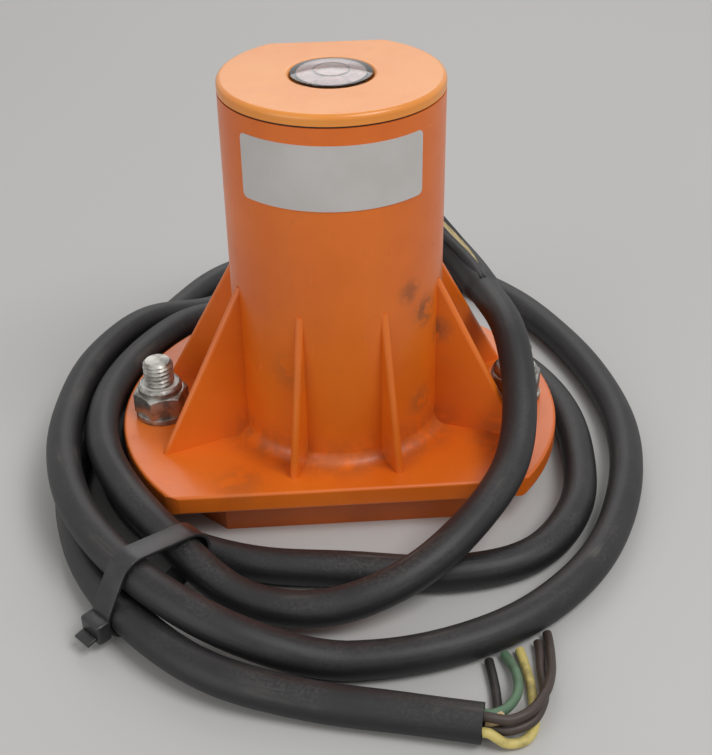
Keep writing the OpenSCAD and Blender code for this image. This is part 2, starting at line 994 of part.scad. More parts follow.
// The bundle's centre line inside the body as [y, z, y and z of its upper side, share of the way from a round
// bundle to a row]: out of the gland, down past the lock nut and the stop plate, and along the flat back
bundle = [[cable_route[0][1], gland_z, 0, 1, 0], [28, gland_z, 0, 1, 0], [22.5, gland_z - 2.5, -0.5, 0.85, 0],
    [20.2, gland_z - 8, -1, 0.2, 0], [20.2, gland_z - 15, -1, 0, 0], [23.5, gland_z - 22, -1, -0.3, 0.3],
    [26.5, gland_z - 30, -1, 0, 0.7], [27.2, gland_z - 42, -1, 0, 1], [27, 46, -1, 0, 1], [24, 38, -1, 0, 1],
    [wire_y, terminal_top + 1, -1, 0, 1], [wire_y, terminal_top - wire_depth + 0.5, -1, 0, 1]];
// Terminal of each core on the bundle's circle, from left to right
core_terminal = [2, 0, 1, 3, 4];
function inner_core_route(i) =
    let (a = 90 + 72 * i, x = core_circle * cos(a), u = core_circle * sin(a),
        row = terminal_x(core_terminal[i]))
    [for (b = bundle) [x + (row - x) * b[4], b[0] + u * (1 - b[4]) * b[2], b[1] + u * (1 - b[4]) * b[3]]];

module inner_cores() {
    color([0.8, 0.75, 0.6])
        for (i = [0 : 4])
            sweep(inner_core_route(i), core_r, core_sides, [1, 0, 0]);
}

// Cable gland

module gland_body() {
    color(black)
        difference() {
            union() {
                on_gland_axis(gland_y - gland_stub)
                    cylinder(d = gland_thread, h = gland_stub + gland_washer_t + 1);
                on_gland_axis(gland_y + gland_washer_t)
                    hex_prism(gland_af, gland_hex_t);
                on_gland_axis(gland_y + gland_washer_t)
                    cylinder(d = gland_thread, h = gland_hex_t + gland_neck);
            }
            on_gland_axis(gland_y - gland_stub - 1)
                cylinder(r = gland_bore_r, h = gland_stub + gland_washer_t + gland_hex_t + gland_neck + 2);
            on_gland_axis(gland_y + gland_washer_t + gland_hex_t)
                cylinder(r = gland_seal_r, h = gland_neck + 1);
        }
}

module gland_washer() {
    color(black)
        on_gland_axis(gland_y)
            difference() {
                cylinder(r = gland_af / 2 + 1, h = gland_washer_t);
                translate([0, 0, -1])
                    cylinder(d = gland_thread, h = gland_washer_t + 2);
            }
}

module gland_locknut() {
    thick = 5;
    color(steel)
        on_gland_axis(cavity_flat - thick)
            difference() {
                hex_prism(gland_af, thick);
                translate([0, 0, -1])
                    cylinder(d = gland_thread, h = thick + 2);
            }
}

module gland_seal() {
    color([0.25, 0.25, 0.25])
        on_gland_axis(gland_y + gland_washer_t + gland_hex_t)
            difference() {
                cylinder(r = gland_seal_r, h = gland_neck + 1);
                translate([0, 0, -1])
                    cylinder(r = cable_r + 0.05, h = gland_neck + 3);
            }
}

module gland_nut() {
    r = gland_af / 2 / cos(30);
    color(black)
        on_gland_axis(gland_mouth - gland_nut_l)
            difference() {
                intersection() {
                    hex_prism(gland_af, gland_nut_l);
                    rotate_extrude()
                        polygon([[0, 0], [r - 1, 0], [r, 1], [r, gland_nut_l * 0.6], [cable_r + 3, gland_nut_l],
                            [0, gland_nut_l]]);
                }
                rotate_extrude()
                    polygon([[0, -1], [gland_thread / 2, -1], [gland_thread / 2, gland_neck],
                        [gland_seal_r, gland_neck], [cable_r + 0.5, gland_nut_l - 3],
                        [cable_r + 0.5, gland_nut_l + 1], [0, gland_nut_l + 1]]);
            }
}

// Mounting hardware

module bolts() {
    tip = flange_top + bolt_tip;
    low_z = flange_z - washer_t - head_h;
    shank_r = pitch_d / 2;
    free_z = flange_top + washer_t + nut_h + 0.3;
    color(steel)
        at_bolts() {
            translate([0, 0, low_z + head_h])
                mirror([0, 0, 1])
                    chamfered_hex(hex_af, head_h);
            rotate_extrude()
                polygon([[0, low_z + 1], [shank_r, low_z + 1], [shank_r, free_z], [bolt_d / 2, free_z],
                    [bolt_d / 2, tip - 1.2], [bolt_d / 2 - 1.2, tip], [0, tip]]);
        }
}

module ring(outer, inner, h) {
    difference() {
        cylinder(r = outer, h = h);
        translate([0, 0, -1])
            cylinder(r = inner, h = h + 2);
    }
}

module plain_washers() {
    color(steel)
        at_bolts()
            translate([0, 0, flange_z - washer_t])
                ring(washer_r, bolt_d / 2 + 0.5, washer_t);
}

module spring_washers() {
    color(steel)
        at_bolts()
            translate([0, 0, flange_top])
                difference() {
                    ring(spring_washer_r, spring_washer_in, washer_t);
                    rotate([0, 0, 200])
                        translate([0, -0.6, -1])
                            cube([washer_r + 1, 1.2, washer_t + 2]);
                }
}

module lock_nuts() {
    nut_z = flange_top + washer_t;
    color(steel)
        at_bolts()
            translate([0, 0, nut_z])
                rotate([0, 0, 12])
                    difference() {
                        union() {
                            chamfered_hex(hex_af, nut_hex_h);
                            rotate_extrude()
                                polygon([[0, 1], [nut_collar_r, 1], [nut_collar_r, nut_h - 1.2],
                                    [nut_collar_r - 1, nut_h], [0, nut_h]]);
                        }
                        translate([0, 0, -1])
                            cylinder(r = pitch_d / 2 + thread_gap, h = nut_h + 2);
                        translate([0, 0, nut_h - insert_h])
                            cylinder(r = insert_r, h = insert_h + 1);
                    }
}

module nut_inserts() {
    color([0.85, 0.85, 0.88])
        at_bolts()
            translate([0, 0, flange_top + washer_t + nut_h - insert_h])
                ring(insert_r, pitch_d / 2 + thread_gap, insert_h - 0.3);
}

// Cable, tie and bare cores

module cable() {
    color(black)
        sweep(cable_route, cable_r, cable_sides);
}

// Slack outline round the tied strands, grown by extra
module tie_outline(extra) {
    hull()
        for (s = tie_strands)
            translate(s)
                circle(cable_r + tie_gap + extra, $fn = tie_sides);
}

module cable_tie() {
    outer = tie_strands[2][0] + cable_r + tie_gap;
    color(black)
        translate([tie_at[0], tie_at[1], 0])
            rotate([0, 0, tie_angle])
                rotate([90, 0, 0]) {
                    translate([0, 0, -tie_w / 2])
                        linear_extrude(tie_w)
                            difference() {
                                tie_outline(tie_t);
                                tie_outline(0);
                            }
                    translate([outer + 0.2, 4, -tie_head[2] / 2])
                        cube(tie_head);
                    translate([outer + tie_head[0], 6, -tie_tail[2] / 2])
                        rotate([0, 0, -12])
                            cube(tie_tail);
                }
}

module core_green() {
    color([0.33, 0.5, 0.38])
        sweep(core_green_route, core_r, core_sides);
}

module core_black() {
    color(black)
        sweep(core_black_route, core_r, core_sides);
}

module core_brown() {
    color(brown)
        sweep(core_brown_route, core_r, core_sides);
}

module core_brown_low() {
    color(brown)
        sweep(core_brown_low_route, core_r, core_sides);
}

module core_yellow() {
    color([0.75, 0.7, 0.4])
        sweep(core_yellow_route, core_r, core_sides);
}

housing();
base_cover();
base_gasket();
cover_screws();
lid();
lid_gasket();
label();
level_vial();
level_ring();
level_fluid();
level_base();
bubble();
chassis();
chassis_screws();
stop_plate();
gimbal_ring();
cross_pin();
pendulum();
bob();
magnet();
circuit_board();
board_screws();
sensor_board();
sensors();
relay();
capacitor();
terminal_block();
terminal_screws();
inner_cores();
gland_body();
gland_washer();
gland_locknut();
gland_seal();
gland_nut();
bolts();
plain_washers();
spring_washers();
lock_nuts();
nut_inserts();
cable();
cable_tie();
core_green();
core_black();
core_brown();
core_brown_low();
core_yellow();
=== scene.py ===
"""Looks of the tilt switch: finishes of its rigid parts, and its cable, tie, bolts and cores as pieces.

Lengths are in metres in the part's own frame: +Z up, +Y towards the flat back with the cable gland. Routes
and small sizes are written in millimetres and pass through mm().
"""

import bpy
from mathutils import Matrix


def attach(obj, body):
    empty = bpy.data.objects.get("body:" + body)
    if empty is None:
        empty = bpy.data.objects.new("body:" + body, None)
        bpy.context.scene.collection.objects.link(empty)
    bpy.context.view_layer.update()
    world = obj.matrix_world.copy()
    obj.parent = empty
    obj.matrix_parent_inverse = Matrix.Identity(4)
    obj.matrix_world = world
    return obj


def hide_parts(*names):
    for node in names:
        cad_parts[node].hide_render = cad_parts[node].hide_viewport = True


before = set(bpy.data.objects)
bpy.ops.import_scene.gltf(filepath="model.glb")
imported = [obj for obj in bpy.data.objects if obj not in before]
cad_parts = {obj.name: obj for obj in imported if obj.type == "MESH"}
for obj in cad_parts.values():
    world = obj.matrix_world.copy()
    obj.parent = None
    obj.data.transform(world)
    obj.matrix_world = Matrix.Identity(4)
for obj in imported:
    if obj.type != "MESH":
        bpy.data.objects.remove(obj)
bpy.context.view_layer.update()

import logging
import math
from collections.abc import Callable, Sequence
from dataclasses import dataclass
from enum import Enum

import bpy
from mathutils import Matrix, Vector
from mathutils.geometry import convex_hull_2d

LOG = logging.getLogger("tilt_switch")
MILLIMETRE = 0.001
Colour = tuple[float, float, float, float]


class Body(Enum):
    """The moving groups that a piece can ride on."""

    HOUSING = "housing"
    GIMBAL = "gimbal"
    PENDULUM = "pendulum"
    BUBBLE = "bubble"


class Side(Enum):
    """The two sides of the flange, by the sign of X."""

    LEFT = -1
    RIGHT = 1


def mm(*lengths: float) -> Vector:
    """Return a point given in millimetres as a vector in metres."""
    return Vector(lengths) * MILLIMETRE


def srgb(red: int, green: int, blue: int) -> Colour:
    """Return a screen colour of 0 to 255 a channel as linear light with full alpha."""
    shares = [channel / 255 for channel in (red, green, blue)]
    linear = [s / 12.92 if s <= 0.04045 else ((s + 0.055) / 1.055) ** 2.4 for s in shares]
    return (linear[0], linear[1], linear[2], 1.0)


# Shader maths


class Shade:
    """A value or colour in a material, with operators that add the nodes for them."""

    def __init__(self, graph: "Graph", socket: bpy.types.NodeSocket) -> None:
        """Keep the node tree and the output socket that this value comes from."""
        self.graph = graph
        self.socket = socket

    def _maths(self, operation: str, first: "Shade | float", second: "Shade | float" = 0.0) -> "Shade":
        """Add one Math node."""
        return self.graph.node("ShaderNodeMath", {"operation": operation}, {0: first, 1: second})

    def __add__(self, other: "Shade | float") -> "Shade":
        """Return the sum."""
        return self._maths("ADD", self, other)

    __radd__ = __add__

    def __sub__(self, other: "Shade | float") -> "Shade":
        """Return the difference."""
        return self._maths("SUBTRACT", self, other)

    def __rsub__(self, other: "Shade | float") -> "Shade":
        """Return the difference from a number."""
        return self._maths("SUBTRACT", other, self)

    def __mul__(self, other: "Shade | float") -> "Shade":
        """Return the product."""
        return self._maths("MULTIPLY", self, other)

    __rmul__ = __mul__

    def __truediv__(self, other: "Shade | float") -> "Shade":
        """Return the quotient."""
        return self._maths("DIVIDE", self, other)

    def __pow__(self, power: float) -> "Shade":
        """Return this value to a power."""
        return self._maths("POWER", self, power)

    def size(self) -> "Shade":
        """Return the value without its sign."""
        return self._maths("ABSOLUTE", self)

    def most(self, other: "Shade | float") -> "Shade":
        """Return the larger of two values."""
        return self._maths("MAXIMUM", self, other)

    def rise(self, start: float, end: float) -> "Shade":
        """Return 0 before start and 1 past end, with a smooth change between; start may be above end."""
        settings = {"interpolation_type": "SMOOTHSTEP"}
        up = start <= end
        low, high = min(start, end), max(start, end)
        inputs = {0: self, 1: low, 2: high, 3: 0.0 if up else 1.0, 4: 1.0 if up else 0.0}
        return self.graph.node("ShaderNodeMapRange", settings, inputs)


class Graph:
    """The node tree of one material with its main shader."""

    def __init__(self, name: str) -> None:
        """Make the material and keep its shader node."""
        self.material = bpy.data.materials.new(name)
        self.material.use_nodes = True
        self.tree = self.material.node_tree
        self.shader = next(n for n in self.tree.nodes if n.type == "BSDF_PRINCIPLED")

    def node(self, kind: str, settings: dict[str, object], inputs: dict, output: int | str = 0) -> Shade:
        """Add a node and return one of its outputs.

        Args:
            kind: The node's type.
            settings: Attributes of the node, set before its sockets.
            inputs: Values or links by socket name or index.
            output: The output's name or index.

        Returns:
            The chosen output.
        """
        made = self.tree.nodes.new(kind)
        for name, value in settings.items():
            setattr(made, name, value)
        for key, value in inputs.items():
            if isinstance(value, Shade):
                self.tree.links.new(value.socket, made.inputs[key])
            else:
                made.inputs[key].default_value = value
        return Shade(self, made.outputs[output])

    def place(self) -> Shade:
        """Return the place on the object, in metres."""
        return self.node("ShaderNodeTexCoord", {}, {}, "Object")

    def part_of(self, vector: Shade, axis: str) -> Shade:
        """Return the X, Y or Z part of a vector."""
        return self.node("ShaderNodeSeparateXYZ", {}, {0: vector}, axis)

    def facing(self, axis: str) -> Shade:
        """Return how far the surface faces along an axis, from -1 to 1."""
        return self.part_of(self.node("ShaderNodeNewGeometry", {}, {}, "Normal"), axis)

    def stretched(self, vector: Shade, scale: tuple[float, float, float], turn: float = 0.0) -> Shade:
        """Return a vector turned about Z by an angle in radians and scaled along each axis."""
        inputs = {"Vector": vector, "Rotation": (0, 0, turn), "Scale": scale}
        return self.node("ShaderNodeMapping", {}, inputs)

    def noise(self, vector: Shade, scale: float, detail: float = 2.0, roughness: float = 0.5) -> Shade:
        """Return cloudy noise of about 0.5, with features of about 1/scale metres."""
        inputs = {"Vector": vector, "Scale": scale, "Detail": detail, "Roughness": roughness}
        return self.node("ShaderNodeTexNoise", {}, inputs)

    def cells(self, vector: Shade, scale: float, feature: str = "F1") -> Shade:
        """Return the distance to the nearest of scattered points, or to the edge between their cells."""
        inputs = {"Vector": vector, "Scale": scale}
        return self.node("ShaderNodeTexVoronoi", {"feature": feature}, inputs, "Distance")

    def mix(self, share: Shade | float, first: Shade | Colour, second: Shade | Colour) -> Shade:
        """Return the first colour where share is 0 and the second where it is 1."""
        return self.node("ShaderNodeMix", {"data_type": "RGBA"}, {0: share, 6: first, 7: second}, 2)

    def distance(self, vector: Shade, centre: Vector) -> Shade:
        """Return the distance from a point."""
        return self.node(
            "ShaderNodeVectorMath", {"operation": "DISTANCE"}, {0: vector, 1: tuple(centre)}, "Value"
        )

    def attribute(self, name: str) -> Shade:
        """Return a number kept on the mesh's points."""
        return self.node("ShaderNodeAttribute", {"attribute_name": name}, {}, "Fac")

    def along(self) -> Shade:
        """Return the piece's own coordinates: metres along it and metres round it."""
        return self.node("ShaderNodeTexCoord", {}, {}, "UV")

    def bump(self, height: Shade, depth: float, strength: float = 1.0) -> None:
        """Press a pattern of heights into the surface, depth metres from 0 to 1."""
        normal = self.node(
            "ShaderNodeBump", {}, {"Height": height, "Distance": depth, "Strength": strength}, "Normal"
        )
        self.tree.links.new(normal.socket, self.shader.inputs["Normal"])

    def set(self, **sockets: "Shade | float | Colour") -> None:
        """Set or link sockets of the shader; an underscore in a name stands for a space."""
        for key, value in sockets.items():
            socket = self.shader.inputs[key.replace("_", " ")]
            if isinstance(value, Shade):
                self.tree.links.new(value.socket, socket)
            else:
                socket.default_value = value


# Finishes


@dataclass(frozen=True)
class Finish:
    """A finish: one material, made when it is first asked for."""

    name: str

    def dress(self, graph: Graph) -> None:
        """Set the shader of the material."""
        raise NotImplementedError

    def material(self) -> bpy.types.Material:
        """Return the material, made on the first call."""
        name = self.name + "_finish"
        found = bpy.data.materials.get(name)
        if found is None:
            graph = Graph(name)
            self.dress(graph)
            found = graph.material
        return found


@dataclass(frozen=True)
class Scuff:
    """A rubbed or dirty patch: its centre and reach in millimetres, and how strong it is."""

    centre: tuple[float, float, float]
    reach: float
    strength: float = 1.0


@dataclass(frozen=True)
class MouldedPlastic(Finish):
    """Semi-gloss moulded plastic with cloudy colour, fine grain, rubbed patches, and dust with painted
    shade in its corners.
    """

    colour: Colour
    deep: Colour
    grime_and_shade: Colour = srgb(134, 84, 52)
    roughness: float = 0.34
    scuffs: tuple[Scuff, ...] = ()
    foot_radius: float = 0.0
    foot_height: float = 0.0
    dust_and_shade_height: float = 0.016
    dust_and_shade_reach: float = 0.014
    scratch_share: float = 0.35

    def dress(self, graph: Graph) -> None:
        """Set colour, gloss and grain."""
        place = graph.place()
        cloud = graph.noise(place, 21, 3, 0.55)
        mottle = graph.noise(place, 150, 4, 0.6)
        grain = graph.noise(place, 1900, 2)
        colour = graph.mix(cloud.rise(0.36, 0.68), self.colour, self.deep)
        lines = graph.noise(graph.stretched(place, (900, 60, 90), 0.5), 1, 2, 0.5)
        across = graph.noise(graph.stretched(place, (70, 70, 800), 0.9), 1, 2, 0.5)
        scratch = lines.rise(0.7, 0.76).most(across.rise(0.72, 0.78))
        scratch = scratch * mottle.rise(0.48, 0.6) * self.scratch_share
        pale = tuple(min(1.0, c * 1.25 + 0.06) for c in self.colour[:3]) + (1.0,)
        colour = graph.mix(scratch, colour, pale)
        dirt_and_shade = mottle.rise(0.6, 0.78) * 0.13
        for scuff in self.scuffs:
            reach = scuff.reach * MILLIMETRE
            spread = graph.distance(place, mm(*scuff.centre)) + (mottle - 0.5) * reach * 1.2
            dirt_and_shade = dirt_and_shade.most(spread.rise(reach, reach * 0.25) * mottle.rise(0.36, 0.56) * scuff.strength)
        # Painted shade with some dust: the corner where the body meets its flange is darkened towards the
        # grime colour.
        if self.foot_radius > 0:
            dirt_and_shade = dirt_and_shade.most(self._corner_dust_and_shade(graph, place) * mottle.rise(0.3, 0.62) * 0.42)
        colour = graph.mix(dirt_and_shade, colour, self.grime_and_shade)
        rough = cloud * 0.1 + mottle * 0.12 + scratch * 0.25 + dirt_and_shade * 0.3 + (self.roughness - 0.1)
        graph.set(Base_Color=colour, Roughness=rough, IOR=1.5, Coat_Weight=0.12, Coat_Roughness=0.22)
        graph.bump(grain * 0.35 + mottle * 0.8 + scratch * -1.5, 0.00006, 0.8)

    def _corner_dust_and_shade(self, graph: Graph, place: Shade) -> Shade:
        """Return a mask of dust and painted shade that is 1 in the corner between the upright body and its
        flange.
        """
        x = graph.part_of(place, "X")
        y = graph.part_of(place, "Y")
        z = graph.part_of(place, "Z")
        out = (x * x + y * y) ** 0.5
        low = z.rise(self.foot_height + self.dust_and_shade_height, self.foot_height)
        return low * (out - self.foot_radius).size().rise(self.dust_and_shade_reach, 0.002)


@dataclass(frozen=True)
class RubberSheath(Finish):
    """Black rubber of the cable: dull, creased along its length and scuffed pale, with a torn place."""

    colour: Colour = srgb(30, 29, 31)
    worn: Colour = srgb(98, 95, 90)
    filler: Colour = srgb(216, 198, 150)

    def dress(self, graph: Graph) -> None:
        """Set colour, scuffs, the filler in the tear, and the creases."""
        route = graph.along()
        place = graph.place()
        streak = graph.noise(graph.stretched(route, (16, 210, 1)), 1, 4, 0.6)
        patch = graph.noise(place, 38, 3, 0.55)
        speck = graph.noise(place, 900, 3, 0.6)
        top = graph.facing("Z").rise(-0.1, 0.95)
        worn = streak.rise(0.5, 0.72) * patch.rise(0.44, 0.64) * (top * 0.7 + 0.3)
        dust = top * patch.rise(0.3, 0.7) * speck.rise(0.35, 0.7) * 0.28
        scratch = graph.noise(graph.stretched(route, (45, 1300, 1), 0.12), 1, 2, 0.5).rise(0.71, 0.76)
        wear = (worn * 0.62).most(dust).most(scratch * patch.rise(0.4, 0.6) * 0.5)
        colour = graph.mix(wear, self.colour, self.worn)
        fibre = graph.noise(graph.stretched(route, (60, 2600, 1)), 1, 3, 0.6)
        tear = graph.attribute("tear").rise(0.42, 0.56)
        pith = graph.mix(fibre.rise(0.35, 0.65), self.filler, srgb(168, 150, 108))
        colour = graph.mix(tear, colour, pith)
        crease = graph.noise(graph.stretched(route, (9, 150, 1)), 1, 3, 0.55)
        graph.set(
            Base_Color=colour,
            Roughness=wear * 0.22 + speck * 0.16 + tear * 0.2 + 0.42,
            Specular_IOR_Level=0.42,
        )
        graph.bump(crease * 0.75 + speck * 0.12 + fibre * tear * 0.6, 0.0007, 0.7)


@dataclass(frozen=True)
class Insulation(Finish):
    """Smooth insulation of a core, slightly uneven and dusty."""

    colour: Colour
    soiled: Colour = srgb(70, 62, 52)
    roughness: float = 0.42

    def dress(self, graph: Graph) -> None:
        """Set colour and gloss."""
        place = graph.place()
        patch = graph.noise(place, 130, 3, 0.6)
        speck = graph.noise(place, 1500, 2)
        colour = graph.mix(patch.rise(0.5, 0.75) * 0.55, self.colour, self.soiled)
        graph.set(Base_Color=colour, Roughness=patch * 0.2 + self.roughness)
        graph.bump(patch + speck * 0.2, 0.00015, 0.7)


@dataclass(frozen=True)
class PlatedSteel(Finish):
    """Zinc-plated or bright steel, dulled in patches, with fine scratches."""

    colour: Colour
    dull: Colour
    roughness: float = 0.34
    rust: float = 0.0

    def dress(self, graph: Graph) -> None:
        """Set colour, tarnish and scratches."""
        place = graph.place()
        patch = graph.noise(place, 210, 4, 0.62)
        fine = graph.noise(place, 1700, 3, 0.6)
        lines = graph.noise(graph.stretched(place, (300, 300, 3600)), 1, 2)
        colour = graph.mix(patch.rise(0.38, 0.66), self.colour, self.dull)
        if self.rust > 0:
            spot = graph.noise(place, 420, 4, 0.7).rise(0.62, 0.74) * self.rust
            colour = graph.mix(spot, colour, srgb(112, 70, 44))
        graph.set(
            Base_Color=colour,
            Metallic=1.0 - patch.rise(0.55, 0.8) * 0.35,
            Roughness=patch * 0.3 + fine * 0.12 + (self.roughness - 0.18),
        )
        graph.bump(fine * 0.5 + lines * 0.5 + patch * 0.5, 0.00005, 0.8)


@dataclass(frozen=True)
class PlainPlastic(Finish):
    """Moulded plastic or rubber of one colour with a fine grain and faint dust."""

    colour: Colour
    roughness: float = 0.5
    dust: float = 0.12

    def dress(self, graph: Graph) -> None:
        """Set colour, grain and dust."""
        place = graph.place()
        patch = graph.noise(place, 110, 3, 0.6)
        grain = graph.noise(place, 1800, 2)
        pale = tuple(min(1.0, c * 1.5 + 0.09) for c in self.colour[:3]) + (1.0,)
        colour = graph.mix(patch.rise(0.42, 0.75) * self.dust, self.colour, pale)
        graph.set(Base_Color=colour, Roughness=patch * 0.16 + grain * 0.08 + (self.roughness - 0.12))
        graph.bump(grain * 0.6 + patch * 0.5, 0.00008, 0.7)


@dataclass(frozen=True)
class BlankFoil(Finish):
    """Blank label foil: satin grey-white, with soft mottling, fine scratches and soiled edges."""

    colour: Colour = srgb(198, 194, 191)
    soiled: Colour = srgb(180, 175, 170)

    def dress(self, graph: Graph) -> None:
        """Set colour, gloss and soiling."""
        place = graph.place()
        cloud = graph.noise(place, 48, 3, 0.6)
        speck = graph.noise(place, 1400, 2)
        scratch = graph.noise(graph.stretched(place, (140, 140, 1600), 0.3), 1, 2).rise(0.68, 0.76)
        soil = (cloud.rise(0.3, 0.8) * 0.5).most(scratch * 0.3)
        colour = graph.mix(soil, self.colour, self.soiled)
        graph.set(Base_Color=colour, Roughness=cloud * 0.2 + speck * 0.1 + 0.3, Specular_IOR_Level=0.5)
        graph.bump(cloud + speck * 0.1, 0.00012, 0.6)


@dataclass(frozen=True)
class ClearPlastic(Finish):
    """Clear plastic, fluid or air: lets light through, with a slight tint."""

    tint: Colour
    ior: float = 1.49
    roughness: float = 0.03

    def dress(self, graph: Graph) -> None:
        """Set tint, clearness and faint waves."""
        place = graph.place()
        haze = graph.noise(place, 120, 2)
        graph.set(
            Base_Color=graph.mix(haze.rise(0.4, 0.8) * 0.2, self.tint, (1.0, 1.0, 1.0, 1.0)),
            Roughness=haze * 0.04 + self.roughness,
            Transmission_Weight=1.0,
            IOR=self.ior,
        )
        graph.bump(haze, 0.00002, 0.4)


@dataclass(frozen=True)
class BoardLaminate(Finish):
    """Green circuit board with faint tracks under its lacquer."""

    colour: Colour = srgb(34, 96, 58)
    track: Colour = srgb(52, 132, 78)

    def dress(self, graph: Graph) -> None:
        """Set the board's colour and tracks."""
        place = graph.place()
        edge = graph.cells(graph.stretched(place, (1, 1, 0.02)), 260, "DISTANCE_TO_EDGE").rise(0.12, 0.05)
        weave = graph.noise(place, 900, 2)
        graph.set(Base_Color=graph.mix(edge * 0.7, self.colour, self.track), Roughness=weave * 0.2 + 0.25)
        graph.bump(edge * 0.6 + weave * 0.4, 0.00006, 0.8)


ORANGE_BODY = MouldedPlastic(
    "orange_body",
    colour=srgb(227, 113, 24),
    deep=srgb(216, 102, 18),
    grime_and_shade=srgb(118, 72, 44),
    foot_radius=0.040,
    foot_height=0.022,
    scuffs=(
        Scuff((30.9, -25.4, 78.3), 9, 0.8),
        Scuff((24.6, -31.5, 89.5), 7, 0.6),
        Scuff((37.3, -14.6, 65.1), 9, 0.7),
        Scuff((29, -27, 40), 10, 0.4),
        Scuff((60, -30, 22), 16, 0.35),
        Scuff((-40, -50, 22), 14, 0.3),
        Scuff((-20, -35, 60), 12, 0.25),
    ),
)
# The base cover wears the body's orange painted darker: painted shade under the flange, not a different
# plastic.
SHADED_ORANGE_COVER = MouldedPlastic(
    "orange_cover_painted_shade", colour=srgb(196, 94, 22), deep=srgb(172, 80, 20), grime_and_shade=srgb(90, 56, 36), roughness=0.42
)
ORANGE_LID = MouldedPlastic(
    "orange_lid", colour=srgb(238, 152, 62), deep=srgb(233, 142, 54), roughness=0.3, scratch_share=0.5
)
ZINC = PlatedSteel("zinc_plate", srgb(176, 174, 168), srgb(118, 115, 109), 0.42, 0.45)
STEEL = PlatedSteel("bright_steel", srgb(196, 196, 194), srgb(160, 158, 154), 0.3)
BRASS = PlatedSteel("turned_brass", srgb(196, 160, 92), srgb(150, 116, 62), 0.3)
MAGNET = PlatedSteel("magnet_plate", srgb(120, 120, 124), srgb(90, 90, 94), 0.35)
BLACK_RUBBER = PlainPlastic("black_rubber", srgb(40, 36, 34), 0.65)
BLACK_NYLON = PlainPlastic("black_nylon", srgb(38, 38, 39), 0.48, 0.2)
TIE_NYLON = PlainPlastic("tie_nylon", srgb(34, 33, 34), 0.36, 0.14)
WHITE_PLASTIC = PlainPlastic("white_plastic", srgb(226, 214, 212), 0.4)
NUT_NYLON = PlainPlastic("nut_nylon", srgb(206, 206, 200), 0.4)
RELAY_BLUE = PlainPlastic("relay_blue", srgb(44, 70, 140), 0.35)
SLEEVE = PlainPlastic("capacitor_sleeve", srgb(40, 40, 54), 0.3)
TERMINAL_GREEN = PlainPlastic("terminal_green", srgb(60, 150, 96), 0.45)
PRINT_INK = PlainPlastic("print_ink", srgb(20, 15, 15), 0.5, 0.02)
BOARD = BoardLaminate("board_laminate")
FOIL = BlankFoil("blank_foil")
SHEATH = RubberSheath("rubber_sheath")
CLEAR_VIAL = ClearPlastic("clear_vial", srgb(250, 234, 234))
LEVEL_FLUID = ClearPlastic("level_fluid", srgb(244, 206, 206), 1.36)
BUBBLE_AIR = ClearPlastic("bubble_air", srgb(255, 255, 255), 1.02)
CORE_GREEN = Insulation("core_green", srgb(94, 124, 98))
CORE_YELLOW = Insulation("core_yellow", srgb(206, 188, 112))
CORE_BROWN = Insulation("core_brown", srgb(58, 46, 40))
CORE_BLACK = Insulation("core_black", srgb(34, 31, 30))
CORE_CREAM = Insulation("core_cream", srgb(204, 178, 136))

FINISHES: tuple[tuple[Finish, str], ...] = (
    (ORANGE_BODY, "housing"),
    (SHADED_ORANGE_COVER, "base_cover"),
    (ORANGE_LID, "lid"),
    (FOIL, "label"),
    (BLACK_RUBBER, "base_gasket lid_gasket gland_washer gland_seal"),
    (BLACK_NYLON, "gland_body gland_locknut gland_nut sensors"),
    (ZINC, "cover_screws chassis_screws board_screws terminal_screws"),
    (ZINC, "bolts plain_washers spring_washers lock_nuts"),
    (STEEL, "chassis stop_plate cross_pin pendulum"),
    (BRASS, "gimbal_ring bob"),
    (MAGNET, "magnet"),
    (CLEAR_VIAL, "level_vial"),
    (PRINT_INK, "level_ring"),
    (LEVEL_FLUID, "level_fluid"),
    (WHITE_PLASTIC, "level_base"),
    (BUBBLE_AIR, "bubble"),
    (BOARD, "circuit_board sensor_board"),
    (RELAY_BLUE, "relay"),
    (SLEEVE, "capacitor"),
    (TERMINAL_GREEN, "terminal_block"),
    (NUT_NYLON, "nut_inserts"),
    (SHEATH, "cable"),
    (TIE_NYLON, "cable_tie"),
    (CORE_GREEN, "core_green"),
    (CORE_BLACK, "core_black"),
    (CORE_BROWN, "core_brown core_brown_low inner_cores"),
    (CORE_YELLOW, "core_yellow"),
)


# Camera, floor and light


@dataclass(frozen=True)
class PhotoCamera:
    """Camera at the photograph's viewing angle. Lengths are in millimetres and angles in degrees."""

    azimuth: float = -3.39
    elevation: float = 33.18
    roll: float = -0.96
    distance: float = 507.49
    target_side: float = 6.76
    target_height: float = 34.0
    focal_pixels: float = 1271.66
    picture_height: float = 755.0
    sensor: float = 36.0

    def build(self) -> bpy.types.Object:
        """Make the camera and set it as the scene's own.

        Returns:
            The camera object.
        """
        turn, lift, roll = (math.radians(a) for a in (self.azimuth, self.elevation, self.roll))
        back = Vector((math.sin(turn) * math.cos(lift), -math.cos(turn) * math.cos(lift), math.sin(lift)))
        side = Vector((math.cos(turn), math.sin(turn), 0))
        up = side.cross(-back)
        right = side * math.cos(roll) + up * math.sin(roll)
        top = up * math.cos(roll) - side * math.sin(roll)
        target = side * self.target_side + Vector((0, 0, self.target_height))
        place = (target + back * self.distance) * MILLIMETRE
        data = bpy.data.cameras.new("photo_camera")
        data.sensor_fit = "VERTICAL"
        data.sensor_height = self.sensor
        data.lens = self.focal_pixels / self.picture_height * self.sensor
        data.clip_start = 0.01
        camera = bpy.data.objects.new("photo_camera", data)
        turned = Matrix((right, top, back)).transposed().to_4x4()
        camera.matrix_world = Matrix.Translation(place) @ turned
        bpy.context.scene.collection.objects.link(camera)
        bpy.context.scene.camera = camera
        return camera


@dataclass(frozen=True)
class Lamp:
    """A square studio lamp that points at the part: place and width in metres, power in watts."""

    name: str
    place: tuple[float, float, float]
    width: float
    power: float
    colour: tuple[float, float, float] = (1.0, 1.0, 1.0)


